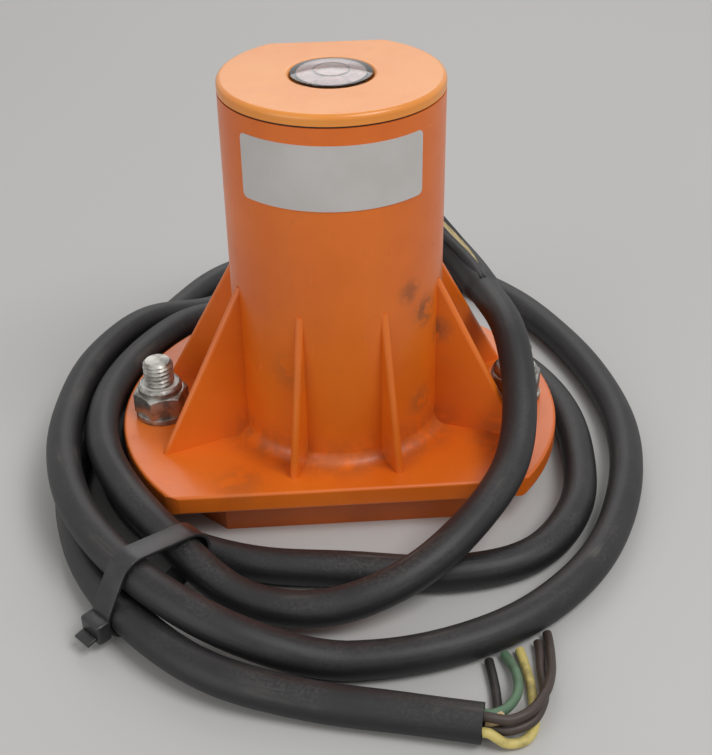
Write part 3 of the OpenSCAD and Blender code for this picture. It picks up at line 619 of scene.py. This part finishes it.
@dataclass(frozen=True)
class Studio:
    """A pale floor, an even sky and soft lamps."""

    floor_radius: float = 3.0
    floor_colour: Colour = srgb(196, 195, 193)
    floor_cloud: Colour = srgb(190, 190, 190)
    aim_height: float = 60.0
    sky: float = 0.36
    shown: float = 0.78
    lamps: tuple[Lamp, ...] = (
        Lamp("key", (0.65, -0.6, 1.35), 0.7, 12.0),
        Lamp("fill", (-0.9, -0.9, 0.5), 0.9, 4.0),
        Lamp("back", (0.1, 1.2, 1.1), 0.9, 5.0),
    )

    def build(self) -> None:
        """Make the floor, the world and the lamps."""
        deselect()
        bpy.ops.mesh.primitive_circle_add(vertices=96, radius=self.floor_radius, fill_type="NGON")
        floor = bpy.context.object
        floor.name = "floor"
        graph = Graph("pale_floor")
        tone = graph.noise(graph.place(), 3, 3)
        graph.set(Base_Color=graph.mix(tone * 0.06, self.floor_colour, self.floor_cloud), Roughness=0.85)
        floor.data.materials.append(graph.material)
        self._light_sky()
        for lamp in self.lamps:
            self._hang(lamp)

    def _light_sky(self) -> None:
        """Light the world evenly, and show it pale to the camera, in gloss and through clear pieces."""
        world = bpy.data.worlds.new("studio")
        bpy.context.scene.world = world
        world.use_nodes = True
        tree = world.node_tree
        shader = next(n for n in tree.nodes if n.type == "BACKGROUND")
        path = tree.nodes.new("ShaderNodeLightPath")
        seen = path.outputs["Is Camera Ray"]
        for ray in ("Is Glossy Ray", "Is Transmission Ray"):
            either = tree.nodes.new("ShaderNodeMath")
            either.operation = "MAXIMUM"
            tree.links.new(seen, either.inputs[0])
            tree.links.new(path.outputs[ray], either.inputs[1])
            seen = either.outputs[0]
        level = tree.nodes.new("ShaderNodeMapRange")
        tree.links.new(seen, level.inputs["Value"])
        level.inputs["To Min"].default_value = self.sky
        level.inputs["To Max"].default_value = self.shown
        tree.links.new(level.outputs[0], shader.inputs["Strength"])
        shader.inputs["Color"].default_value = (1.0, 1.0, 1.0, 1.0)

    def _hang(self, lamp: Lamp) -> None:
        """Add one lamp, turned towards the part."""
        data = bpy.data.lights.new(lamp.name, "AREA")
        data.size = lamp.width
        data.energy = lamp.power
        data.color = lamp.colour
        made = bpy.data.objects.new(lamp.name, data)
        made.location = lamp.place
        aim = mm(0, 0, self.aim_height) - Vector(lamp.place)
        made.rotation_euler = aim.to_track_quat("-Z", "Y").to_euler()
        bpy.context.scene.collection.objects.link(made)


# Modelling helpers


def deselect() -> None:
    """Leave nothing selected."""
    for made in list(bpy.context.selected_objects):
        made.select_set(False)


def activate(piece: bpy.types.Object) -> None:
    """Select this piece alone and make it the active one."""
    deselect()
    piece.select_set(True)
    bpy.context.view_layer.objects.active = piece


def apply_modifiers(piece: bpy.types.Object) -> None:
    """Apply every modifier of a piece in order."""
    activate(piece)
    for modifier in list(piece.modifiers):
        bpy.ops.object.modifier_apply(modifier=modifier.name)


def settle(piece: bpy.types.Object, finish: Finish, body: Body, smooth: float = 35.0) -> bpy.types.Object:
    """Finish a piece: its place goes into its mesh, it is shaded, dressed and rides on a body.

    Args:
        piece: The modelled piece.
        finish: Its finish.
        body: The moving group that it belongs to.
        smooth: Edges up to this angle in degrees are shaded smooth.

    Returns:
        The same piece.
    """
    apply_modifiers(piece)
    bpy.ops.object.transform_apply(location=True, rotation=True, scale=True)
    bpy.ops.object.shade_smooth_by_angle(angle=math.radians(smooth))
    piece.data.materials.clear()
    piece.data.materials.append(finish.material())
    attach(piece, body.value)
    LOG.info("piece %s: %d faces, %s", piece.name, len(piece.data.polygons), finish.name)
    return piece


def mesh_piece(name: str, points: Sequence[Vector], faces: Sequence[Sequence[int]]) -> bpy.types.Object:
    """Return a new object from points and faces."""
    data = bpy.data.meshes.new(name)
    data.from_pydata([tuple(p) for p in points], [], [tuple(f) for f in faces])
    data.validate()
    made = bpy.data.objects.new(name, data)
    bpy.context.scene.collection.objects.link(made)
    return made


def turned(name: str, profile: Sequence[tuple[float, float]], steps: int = 64) -> bpy.types.Object:
    """Spin a profile of (radius, height) in millimetres about the Z axis.

    Args:
        name: The piece's name.
        profile: Points from the axis round the outside and back to the axis, or a closed loop off the axis.
        steps: Faces round the piece.

    Returns:
        The closed, merged piece, at the origin.
    """
    data = bpy.data.meshes.new(name)
    points = [mm(r, 0, z) for r, z in profile]
    closed = profile[0][0] > 0
    count = len(points)
    edges = [(i, (i + 1) % count) for i in range(count if closed else count - 1)]
    data.from_pydata([tuple(p) for p in points], edges, [])
    made = bpy.data.objects.new(name, data)
    bpy.context.scene.collection.objects.link(made)
    screw = made.modifiers.new("spin", "SCREW")
    screw.steps = steps
    screw.render_steps = steps
    screw.use_merge_vertices = True
    screw.merge_threshold = 0.000001
    apply_modifiers(made)
    close_and_face_outwards(made)
    return made


def close_and_face_outwards(piece: bpy.types.Object) -> None:
    """Merge doubled points and turn every face outwards."""
    activate(piece)
    bpy.ops.object.mode_set(mode="EDIT")
    bpy.ops.mesh.select_all(action="SELECT")
    bpy.ops.mesh.remove_doubles(threshold=0.000002)
    bpy.ops.mesh.normals_make_consistent(inside=False)
    bpy.ops.object.mode_set(mode="OBJECT")


def smooth_line(points: Sequence[Vector], step: float) -> list[Vector]:
    """Run a smooth curve through points.

    Args:
        points: The points that the curve passes.
        step: The distance between the samples.

    Returns:
        The samples, the first and last point among them.
    """
    line = [points[0]]
    for i in range(len(points) - 1):
        before = points[max(0, i - 1)]
        start = points[i]
        end = points[i + 1]
        after = points[min(len(points) - 1, i + 2)]
        knots = [0.0]
        for a, b in ((before, start), (start, end), (end, after)):
            knots.append(knots[-1] + max(1e-6, math.sqrt((b - a).length)))
        count = max(2, round((end - start).length / step))
        for k in range(1, count + 1):
            t = knots[1] + (knots[2] - knots[1]) * k / count
            line.append(spline_point((before, start, end, after), knots, t))
    return line


def spline_point(corners: Sequence[Vector], knots: Sequence[float], t: float) -> Vector:
    """Return a point of the curve through the two middle corners, at knot value t."""
    row = list(corners)
    for spans in (((0, 1), (1, 2), (2, 3)), ((0, 2), (1, 3)), ((1, 2),)):
        made = []
        for i, (first, last) in enumerate(spans):
            a, b = knots[first], knots[last]
            made.append(row[i] * ((b - t) / (b - a)) + row[i + 1] * ((t - a) / (b - a)))
        row = made
    return row[0]


def line_lengths(line: Sequence[Vector]) -> list[float]:
    """Return the distance along a line at each of its points."""
    lengths = [0.0]
    for a, b in zip(line, line[1:]):
        lengths.append(lengths[-1] + (b - a).length)
    return lengths


def ring_frames(line: Sequence[Vector], first_up: Vector) -> list[tuple[Vector, Vector]]:
    """Return two directions across the line at each point, carried along it without twist.

    Args:
        line: The points of a centre line.
        first_up: The direction that the first ring starts from.

    Returns:
        For each point, the up and the side direction.
    """
    frames = []
    up = first_up
    for i in range(len(line)):
        ahead = (line[min(i + 1, len(line) - 1)] - line[max(i - 1, 0)]).normalized()
        up = (up - ahead * up.dot(ahead)).normalized()
        frames.append((up, ahead.cross(up)))
    return frames


def tube(
    name: str,
    line: Sequence[Vector],
    radius: Callable[[float, float], tuple[float, float]],
    sides: int = 16,
    first_up: Vector = Vector((0, 0, 1)),
    marks: Callable[[float, float], float] | None = None,
) -> bpy.types.Object:
    """Sweep a closed tube along a line.

    Args:
        name: The piece's name.
        line: The points of the centre line.
        radius: Gives the reach along the up and the side direction, from the distance and the angle.
        sides: Points round each ring.
        first_up: Where the first ring starts.
        marks: Gives the value of the attribute "tear" from the distance and the angle.

    Returns:
        The tube, with a map of metres along and round it.
    """
    lengths = line_lengths(line)
    frames = ring_frames(line, first_up)
    points = []
    values = []
    for at, run, (up, side) in zip(line, lengths, frames):
        for k in range(sides):
            angle = 2 * math.pi * k / sides
            high, wide = radius(run, angle)
            points.append(at + up * (high * math.cos(angle)) + side * (wide * math.sin(angle)))
            values.append(marks(run, angle) if marks else 0.0)
    faces = []
    for i in range(len(line) - 1):
        for k in range(sides):
            n = (k + 1) % sides
            faces.append((i * sides + k, i * sides + n, (i + 1) * sides + n, (i + 1) * sides + k))
    last = (len(line) - 1) * sides
    faces.append(tuple(reversed(range(sides))))
    faces.append(tuple(range(last, last + sides)))
    made = mesh_piece(name, points, faces)
    layer = made.data.uv_layers.new(name="route")
    reach = radius(lengths[-1] / 2, 0)[0]
    for polygon in made.data.polygons:
        row = [made.data.loops[i].vertex_index for i in polygon.loop_indices]
        wraps = {v % sides for v in row} >= {0, sides - 1} and len(row) == 4
        for loop, vertex in zip(polygon.loop_indices, row):
            k = vertex % sides
            turn = sides if wraps and k == 0 else k
            layer.data[loop].uv = (lengths[vertex // sides], turn / sides * 2 * math.pi * reach)
    mark = made.data.attributes.new("tear", "FLOAT", "POINT")
    mark.data.foreach_set("value", values)
    return made


def softened_copy(node: str, width: float, segments: int = 2, angle: float = 32.0) -> bpy.types.Object:
    """Copy a rigid node, merge its loose triangles and round its sharp edges.

    Args:
        node: The node's name.
        width: The width of the rounding, in millimetres.
        segments: Faces across the rounding.
        angle: Edges sharper than this, in degrees, are rounded.

    Returns:
        The copy, which stands for the node.
    """
    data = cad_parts[node].data.copy()
    piece = bpy.data.objects.new(node + "_rounded", data)
    bpy.context.scene.collection.objects.link(piece)
    data.materials.clear()
    activate(piece)
    bpy.ops.object.mode_set(mode="EDIT")
    bpy.ops.mesh.select_all(action="SELECT")
    bpy.ops.mesh.customdata_custom_splitnormals_clear()
    bpy.ops.mesh.remove_doubles(threshold=0.000004)
    bpy.ops.mesh.dissolve_limited(angle_limit=math.radians(0.6))
    bpy.ops.object.mode_set(mode="OBJECT")
    bevel = piece.modifiers.new("round", "BEVEL")
    bevel.limit_method = "ANGLE"
    bevel.angle_limit = math.radians(angle)
    bevel.width = width * MILLIMETRE
    bevel.segments = segments
    bevel.use_clamp_overlap = True
    bevel.miter_outer = "MITER_ARC"
    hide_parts(node)
    return piece


# The cable and what is on it


@dataclass(frozen=True)
class Cable:
    """The cable from its gland to its cut end, in millimetres."""

    diameter: float = 13.0
    low: float = 6.6
    tied: float = 9.6
    high: float = 21.0
    length: float = 2565.0
    mouth: tuple[float, float, float] = (0.0, 61.5, 98.0)
    tear_start: float = 104.0
    tear_end: float = 149.0
    tear_half: float = 34.0
    tear_blur: float = 11.0
    tear_depth: float = 1.9
    tear_facing: tuple[float, float, float] = (0.34, -0.53, 0.78)
    flare_start: float = 96.0
    flare_full: float = 114.0
    flare_end: float = 153.0
    flare_share: float = 0.1
    even_passes: int = 8
    above_table: float = 0.12
    sides: int = 40
    step: float = 3.0

    def route(self) -> list[Vector]:
        """Return the points of the centre line from inside the gland to the cut end."""
        low, tied, high = self.low, self.tied, self.high
        points = [
            (0, 40, 98), (0, 62, 98), (2.2, 76.3, 96.4), (10, 88.6, 90.1), (21.4, 93.9, 81),
            (33.3, 91.5, 71.5), (43.2, 82, 63.3), (51, 67, 57), (57.5, 52, 54), (62.3, 30, 53.5),
            (67, -3, 54.3), (67, -30, 42), (61, -54, 30), (43, -80, 24), (18, -100, 17), (-12, -106, 10),
            (-40, -98, 10), (-64, -76, 19), (-83, -47, high), (-94, -15, high), (-93, 18, high),
            (-81, 49, high), (-60, 74, high), (-23, 76, high), (9, 75, high), (37, 69.5, 15), (66, 63, low),
            (84, 41, low), (94, 11, low), (94, -21, low), (86, -55, low), (65, -81, low), (35, -88, low),
            (0, -83, low), (-36, -77, low), (-66, -61, low), (-86, -32, low), (-92, 2, low), (-85, 37, low),
            (-64, 65, low), (-34, 76, low), (0, 78, low), (26, 80.2, low), (39, 89.5, low),
            (44.4, 104.3, low), (41.6, 120, low), (31.5, 132, low), (16, 137.5, low), (-6, 137, low),
            (-28, 127, low), (-55, 102, 9), (-82, 75, high), (-101, 45, high), (-108.5, 8, high),
            (-107.6, -27, high), (-97, -62, high), (-74, -97, high), (-45, -119, 16), (-11, -127, 7),
            (24, -125, low), (57, -112, low), (86, -86, low), (105, -51, low), (115, -11, low),
            (114, 28, low), (104, 68, low), (86, 106, low), (57, 137, low), (20, 154, low), (-20, 155, low),
            (-50, 139, low), (-69, 112, low), (-85, 79, low), (-99, 45, low), (-106, 9, low),
            (-106, -29, low), (-98, -65, low), (-80, -101, tied), (-51, -131, tied), (-16, -144, low),
            (12, -151, low), (35, -157, low),
        ]
        return [mm(*p) for p in points]

    def line(self) -> list[Vector]:
        """Return the smooth centre line, its bends evened out and never below the table."""
        line = smooth_line(self.route(), self.step * MILLIMETRE)
        for _ in range(self.even_passes):
            inner = [(a + b * 2 + c) / 4 for a, b, c in zip(line, line[1:], line[2:])]
            line = [line[0], *inner, line[-1]]
        floor = (self.diameter / 2 + self.above_table) * MILLIMETRE
        for point in line:
            point.z = max(point.z, floor)
        return line

    def build(self) -> bpy.types.Object:
        """Returns:
            The sheath.
        """
        line = self.line()
        radius = self.diameter / 2 * MILLIMETRE
        frames = ring_frames(line, Vector((0, 0, 1)))
        lengths = line_lengths(line)
        middle = (self.tear_start + self.tear_end) / 2 * MILLIMETRE
        nearest = min(range(len(line)), key=lambda i: abs(lengths[i] - middle))
        up, side = frames[nearest]
        facing = Vector(self.tear_facing)
        centre = math.atan2(facing.dot(side), facing.dot(up))

        def tear(run: float, angle: float) -> float:
            """Return 1 in the tear and 0 on the whole sheath."""
            share = self.tear_share(run)
            if not 0 < share < 1:
                return 0.0
            half = math.radians(self.tear_half) * min(1.0, 0.35 + share * 1.6, (1 - share) * 1.7)
            off = abs((angle - centre + math.pi) % (2 * math.pi) - math.pi)
            return max(0.0, min(1.0, 0.5 + (half - off) / math.radians(self.tear_blur)))

        def reach(run: float, angle: float) -> tuple[float, float]:
            """Return the radius: less in the tear, more where the sheath flares, never quite even."""
            uneven = 1 + 0.008 * math.sin(run * 61) + 0.006 * math.sin(run * 137 + 2 * angle)
            at = run / MILLIMETRE
            flare = (at - self.flare_start) / (self.flare_full - self.flare_start)
            flare = max(0.0, min(1.0, flare)) if at < self.flare_end else 0.0
            cut = self.tear_depth * MILLIMETRE * tear(run, angle)
            here = radius * (uneven + self.flare_share * flare) - cut
            return here, here

        piece = tube("cable_sheath", line, reach, self.sides, Vector((0, 0, 1)), tear)
        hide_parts("cable")
        settle(piece, SHEATH, Body.HOUSING, 60)
        others = [
            self.lip("sheath_lip", (line, lengths, frames), centre + math.radians(40), 1.3),
            self.lip("sheath_lip_low", (line, lengths, frames), centre + math.radians(27), 0.1),
        ]
        self.diameter * MILLIMETRE
        return piece

    def tear_share(self, run: float) -> float:
        """Return how far along the tear a place is, 0 at its start and 1 at its end."""
        return (run / MILLIMETRE - self.tear_start) / (self.tear_end - self.tear_start)

    def lip(self, name: str, route: tuple, angle: float, lift: float) -> bpy.types.Object:
        """Make a strip of sheath that stands proud along the far edge of the tear.

        Args:
            name: The strip's name.
            route: The cable's points, the distance along it at each, and the directions across it.
            angle: Where the strip starts round the cable.
            lift: How far its middle stands off the sheath, in millimetres.

        Returns:
            The strip.
        """
        radius = (self.diameter / 2 + 0.4) * MILLIMETRE
        path = []
        ups = []
        for at, run, (up, side) in zip(*route):
            share = self.tear_share(run)
            if -0.1 <= share <= 1.15:
                turn = angle - math.radians(16) * max(0.0, share)
                out = up * math.cos(turn) + side * math.sin(turn)
                high = radius + lift * MILLIMETRE * math.sin(math.pi * min(1.0, max(0.0, share)))
                path.append(at + out * high)
                ups.append(out)
        total = line_lengths(path)[-1]

        def reach(run: float, turn: float) -> tuple[float, float]:
            """Return the half height and half width of the strip, less at its ends."""
            taper = min(1.0, 0.35 + 6 * min(run, total - run) / total)
            return 0.45 * MILLIMETRE * taper, 1.5 * MILLIMETRE * taper

        piece = tube(name, path, reach, 12, ups[0])
        settle(piece, SHEATH, Body.HOUSING, 60)
        return piece


@dataclass(frozen=True)
class Core:
    """One bare core at the cut end: its route in millimetres and its finish."""

    node: str
    slot: str
    finish: Finish
    points: tuple[tuple[float, float, float], ...]
    diameter: float = 3.2

    def build(self) -> bpy.types.Object:
        """Make the core along a smooth line.

        Returns:
            The core.
        """
        line = smooth_line([mm(*p) for p in self.points], 0.8 * MILLIMETRE)
        radius = self.diameter / 2 * MILLIMETRE
        piece = tube(self.node + "_wire", line, lambda run, angle: (radius, radius), 16)
        if self.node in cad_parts:
            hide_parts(self.node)
        settle(piece, self.finish, Body.HOUSING, 60)
        return piece


CORES = (
    Core("core_green", "core_green", CORE_GREEN,
         ((35.8, -154.5, 8.2), (37.5, -155, 8.2), (43, -152, 7), (48, -144.5, 5.4), (49.5, -134, 3.6),
          (47.5, -124, 1.9))),
    Core("core_black", "core_black", CORE_BLACK,
         ((35.9, -154.2, 4.4), (37.6, -154.7, 4.4), (40.5, -150.5, 3), (41.8, -142.5, 1.9), (42, -134, 1.9),
          (41.8, -126.5, 1.9))),
    Core("core_brown", "core_brown", CORE_BROWN,
         ((35.1, -157.3, 10), (36.8, -157.8, 10), (43, -158.5, 9.2), (50, -155.5, 9.2), (55.8, -148.5, 8.8),
          (60, -138, 6), (62, -129, 3.5), (63.2, -120, 2), (63.4, -115.5, 1.9))),
    Core("core_brown_low", "core_brown", CORE_BROWN,
         ((35.1, -157.3, 5), (36.8, -157.8, 5), (43, -159, 5), (50.5, -156.4, 5.4), (55, -150, 5.4),
          (57.5, -141, 3), (58.3, -132, 1.9), (59.3, -124, 1.9), (59.6, -119.5, 1.9))),
    Core("core_yellow", "core_yellow", CORE_YELLOW,
         ((34.3, -160.7, 6.8), (36, -161.1, 6.8), (42, -162.2, 2.8), (48, -160.5, 1.9), (51.6, -155.5, 1.9),
          (52.8, -148, 1.9), (53.6, -139, 1.9), (53.4, -130, 1.9), (52.8, -122.5, 1.9))),
    Core("filler_stub", "core_insulation", CORE_CREAM,
         ((35.4, -156.4, 7.4), (37.4, -156.6, 7.4), (39.4, -156.1, 7.2), (41.2, -155.2, 7)), 4.2),
)


@dataclass(frozen=True)
class CableTie:
    """The nylon strap round three strands, in millimetres in its own upright plane."""

    at: tuple[float, float] = (-64.0, -84.0)
    turn: float = -138.0
    width: float = 9.0
    thickness: float = 1.3
    gap: float = 0.9
    strand_radius: float = 6.5
    strands: tuple[tuple[float, float], ...] = ((-5.9, 17.3), (15.7, 21.0), (22.7, 9.5))
    head: tuple[float, float, float] = (5.5, 10.0, 8.0)
    tail: tuple[float, float, float] = (4.0, 1.2, 7.5)
    tail_turn: float = -12.0

    def place(self) -> Matrix:
        """Return the matrix from the tie's own plane, X outwards and Y up, to the part's frame."""
        stand = Matrix.Rotation(math.radians(90), 4, "X")
        return (
            Matrix.Translation(mm(self.at[0], self.at[1], 0))
            @ Matrix.Rotation(math.radians(self.turn), 4, "Z")
            @ stand
        )

    def loop(self, extra: float) -> list[Vector]:
        """Return points round the strands, extra millimetres outside the gap."""
        reach = self.strand_radius + self.gap + extra
        cloud = [
            (x + reach * math.cos(a), y + reach * math.sin(a))
            for x, y in self.strands
            for a in (2 * math.pi * k / 48 for k in range(48))
        ]
        order = convex_hull_2d([Vector(p) for p in cloud])
        return [mm(cloud[i][0], cloud[i][1], 0) for i in order]

    def build(self) -> list[bpy.types.Object]:
        """Make the strap, its head and its tail as three pieces.

        Returns:
            The strap, its head and its tail in a list.
        """
        inner = self.loop(0)
        centre = sum(inner, Vector()) / len(inner)
        count = len(inner)
        half = self.width / 2 * MILLIMETRE
        thick = self.thickness * MILLIMETRE
        points = []
        for i, p in enumerate(inner):
            along = (inner[(i + 1) % count] - inner[i - 1]).normalized()
            out = Vector((along.y, -along.x, 0))
            if out.dot(p - centre) < 0:
                out = -out
            q = p + out * thick
            side = Vector((0, 0, half))
            points += [p + side, q + side, q - side, p - side]
        faces = []
        for i in range(count):
            n = (i + 1) % count
            for k in range(4):
                m = (k + 1) % 4
                faces.append((i * 4 + k, n * 4 + k, n * 4 + m, i * 4 + m))
        strap = mesh_piece("tie_strap", points, faces)
        outer = self.strands[2][0] + self.strand_radius + self.gap
        head_size = (self.head[0], self.head[2], self.head[1])
        parts = [
            self._box("tie_head", (outer + 0.2, 4, -self.head[1] / 2), head_size),
            self._box("tie_end", (outer + self.head[0], 6, -self.tail[2] / 2), self.tail, self.tail_turn),
        ]
        made = [strap, *parts]
        for piece in made:
            close_and_face_outwards(piece)
            bevel = piece.modifiers.new("round", "BEVEL")
            bevel.width = (0.3 if piece is not parts[0] else 1.0) * MILLIMETRE
            bevel.segments = 3
            bevel.limit_method = "ANGLE"
            bevel.angle_limit = math.radians(40)
            piece.matrix_world = self.place()
            settle(piece, TIE_NYLON, Body.HOUSING, 40)
        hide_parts("cable_tie")
        return made

    def _box(self, name: str, corner: tuple[float, float, float], size: tuple[float, float, float],
             turn: float = 0.0) -> bpy.types.Object:
        """Return a block from its corner, turned about that corner in the tie's plane."""
        deselect()
        bpy.ops.mesh.primitive_cube_add(size=1)
        piece = bpy.context.object
        piece.name = name
        scale = Matrix.Diagonal((*mm(*size), 1))
        shift = Matrix.Translation(Vector((0.5, 0.5, 0.5)))
        turned_by = Matrix.Rotation(math.radians(turn), 4, "Z")
        piece.data.transform(Matrix.Translation(mm(*corner)) @ turned_by @ scale @ shift)
        return piece


# Bolts, nuts and washers


@dataclass(frozen=True)
class MountingBolts:
    """The two bolts in the flange with their threads, in millimetres."""

    offset: float = 71.0
    radius: float = 6.0
    shank: float = 5.45
    pitch: float = 1.75
    depth: float = 0.95
    head_low: float = 4.0
    head_height: float = 7.5
    head_flats: float = 19.0
    head_bevel: float = 0.7
    thread_start: float = 36.6
    tip: float = 46.3
    chamfer: float = 1.2
    steps: int = 64

    def build(self) -> None:
        """Make both bolts and round the edges of the hardware."""
        made = []
        for side in Side:
            made += [self._shank(side), self._head(side)]
        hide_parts("bolts")
        for node, width in (("lock_nuts", 0.45), ("plain_washers", 0.3), ("spring_washers", 0.3)):
            settle(softened_copy(node, width), ZINC, Body.HOUSING, 40)

    def _head(self, side: Side) -> bpy.types.Object:
        """Make the hexagon head of one bolt, under the flange."""
        deselect()
        middle = mm(side.value * self.offset, 0, self.head_low + self.head_height / 2)
        bpy.ops.mesh.primitive_cylinder_add(
            vertices=6,
            radius=self.head_flats / math.sqrt(3) * MILLIMETRE,
            depth=self.head_height * MILLIMETRE,
            location=middle,
        )
        piece = bpy.context.object
        piece.name = "bolt_head_" + side.name.lower()
        bevel = piece.modifiers.new("round", "BEVEL")
        bevel.width = self.head_bevel * MILLIMETRE
        bevel.segments = 3
        return self._settle(piece)

    def _shank(self, side: Side) -> bpy.types.Object:
        """Make the shank of one bolt and its free end, a thread with a bevelled tip."""
        rows = 72
        start, end = self.thread_start, self.tip
        foot = self.head_low + 1.0
        profile = [(0.0, foot), (self.shank, foot), (self.shank, start - 0.2)]
        profile += [(self.radius, start + (end - start) * i / rows) for i in range(rows + 1)]
        profile += [(self.radius * 0.5, end), (0.0, end)]
        piece = turned("bolt_shank_" + side.name.lower(), profile, self.steps)
        for vertex in piece.data.vertices:
            place = vertex.co / MILLIMETRE
            out = math.hypot(place.x, place.y)
            if out < self.radius * 0.6 or place.z < start - 0.1:
                continue
            turn = math.atan2(place.y, place.x) / (2 * math.pi)
            phase = (place.z / self.pitch - turn) % 1
            groove = self.depth * abs(2 * phase - 1)
            cap = self.radius - max(0.0, self.chamfer - (end - place.z))
            share = max(self.radius - self.depth - 0.4, min(self.radius - groove, cap)) / out
            if end - place.z < 0.01:
                share = (self.radius - self.chamfer) / out
            vertex.co.x *= share
            vertex.co.y *= share
        piece.location = mm(side.value * self.offset, 0, 0)
        return self._settle(piece)

    def _settle(self, piece: bpy.types.Object) -> bpy.types.Object:
        """Finish a piece of a bolt."""
        settle(piece, ZINC, Body.HOUSING, 25)
        return piece


# The whole part


@dataclass(frozen=True)
class RigidParts:
    """The rigid nodes that keep their own shape and get a finish."""

    finishes: tuple[tuple[Finish, str], ...] = FINISHES

    def dress(self) -> None:
        """Give each node its finish."""
        for finish, nodes in self.finishes:
            for name in nodes.split():
                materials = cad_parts[name].data.materials
                materials.clear()
                materials.append(finish.material())
                LOG.info("node %s: %s", name, finish.name)


def main() -> None:
    """Build the camera and cords first, then the studio, the rigid parts and the fittings."""
    logging.basicConfig(level=logging.INFO, format="%(message)s")
    bpy.context.scene.view_settings.view_transform = "Standard"
    PhotoCamera().build()
    Cable().build()
    for core in CORES:
        core.build()
    CableTie().build()
    Studio().build()
    RigidParts().dress()
    MountingBolts().build()


if __name__ == "__main__":
    main()
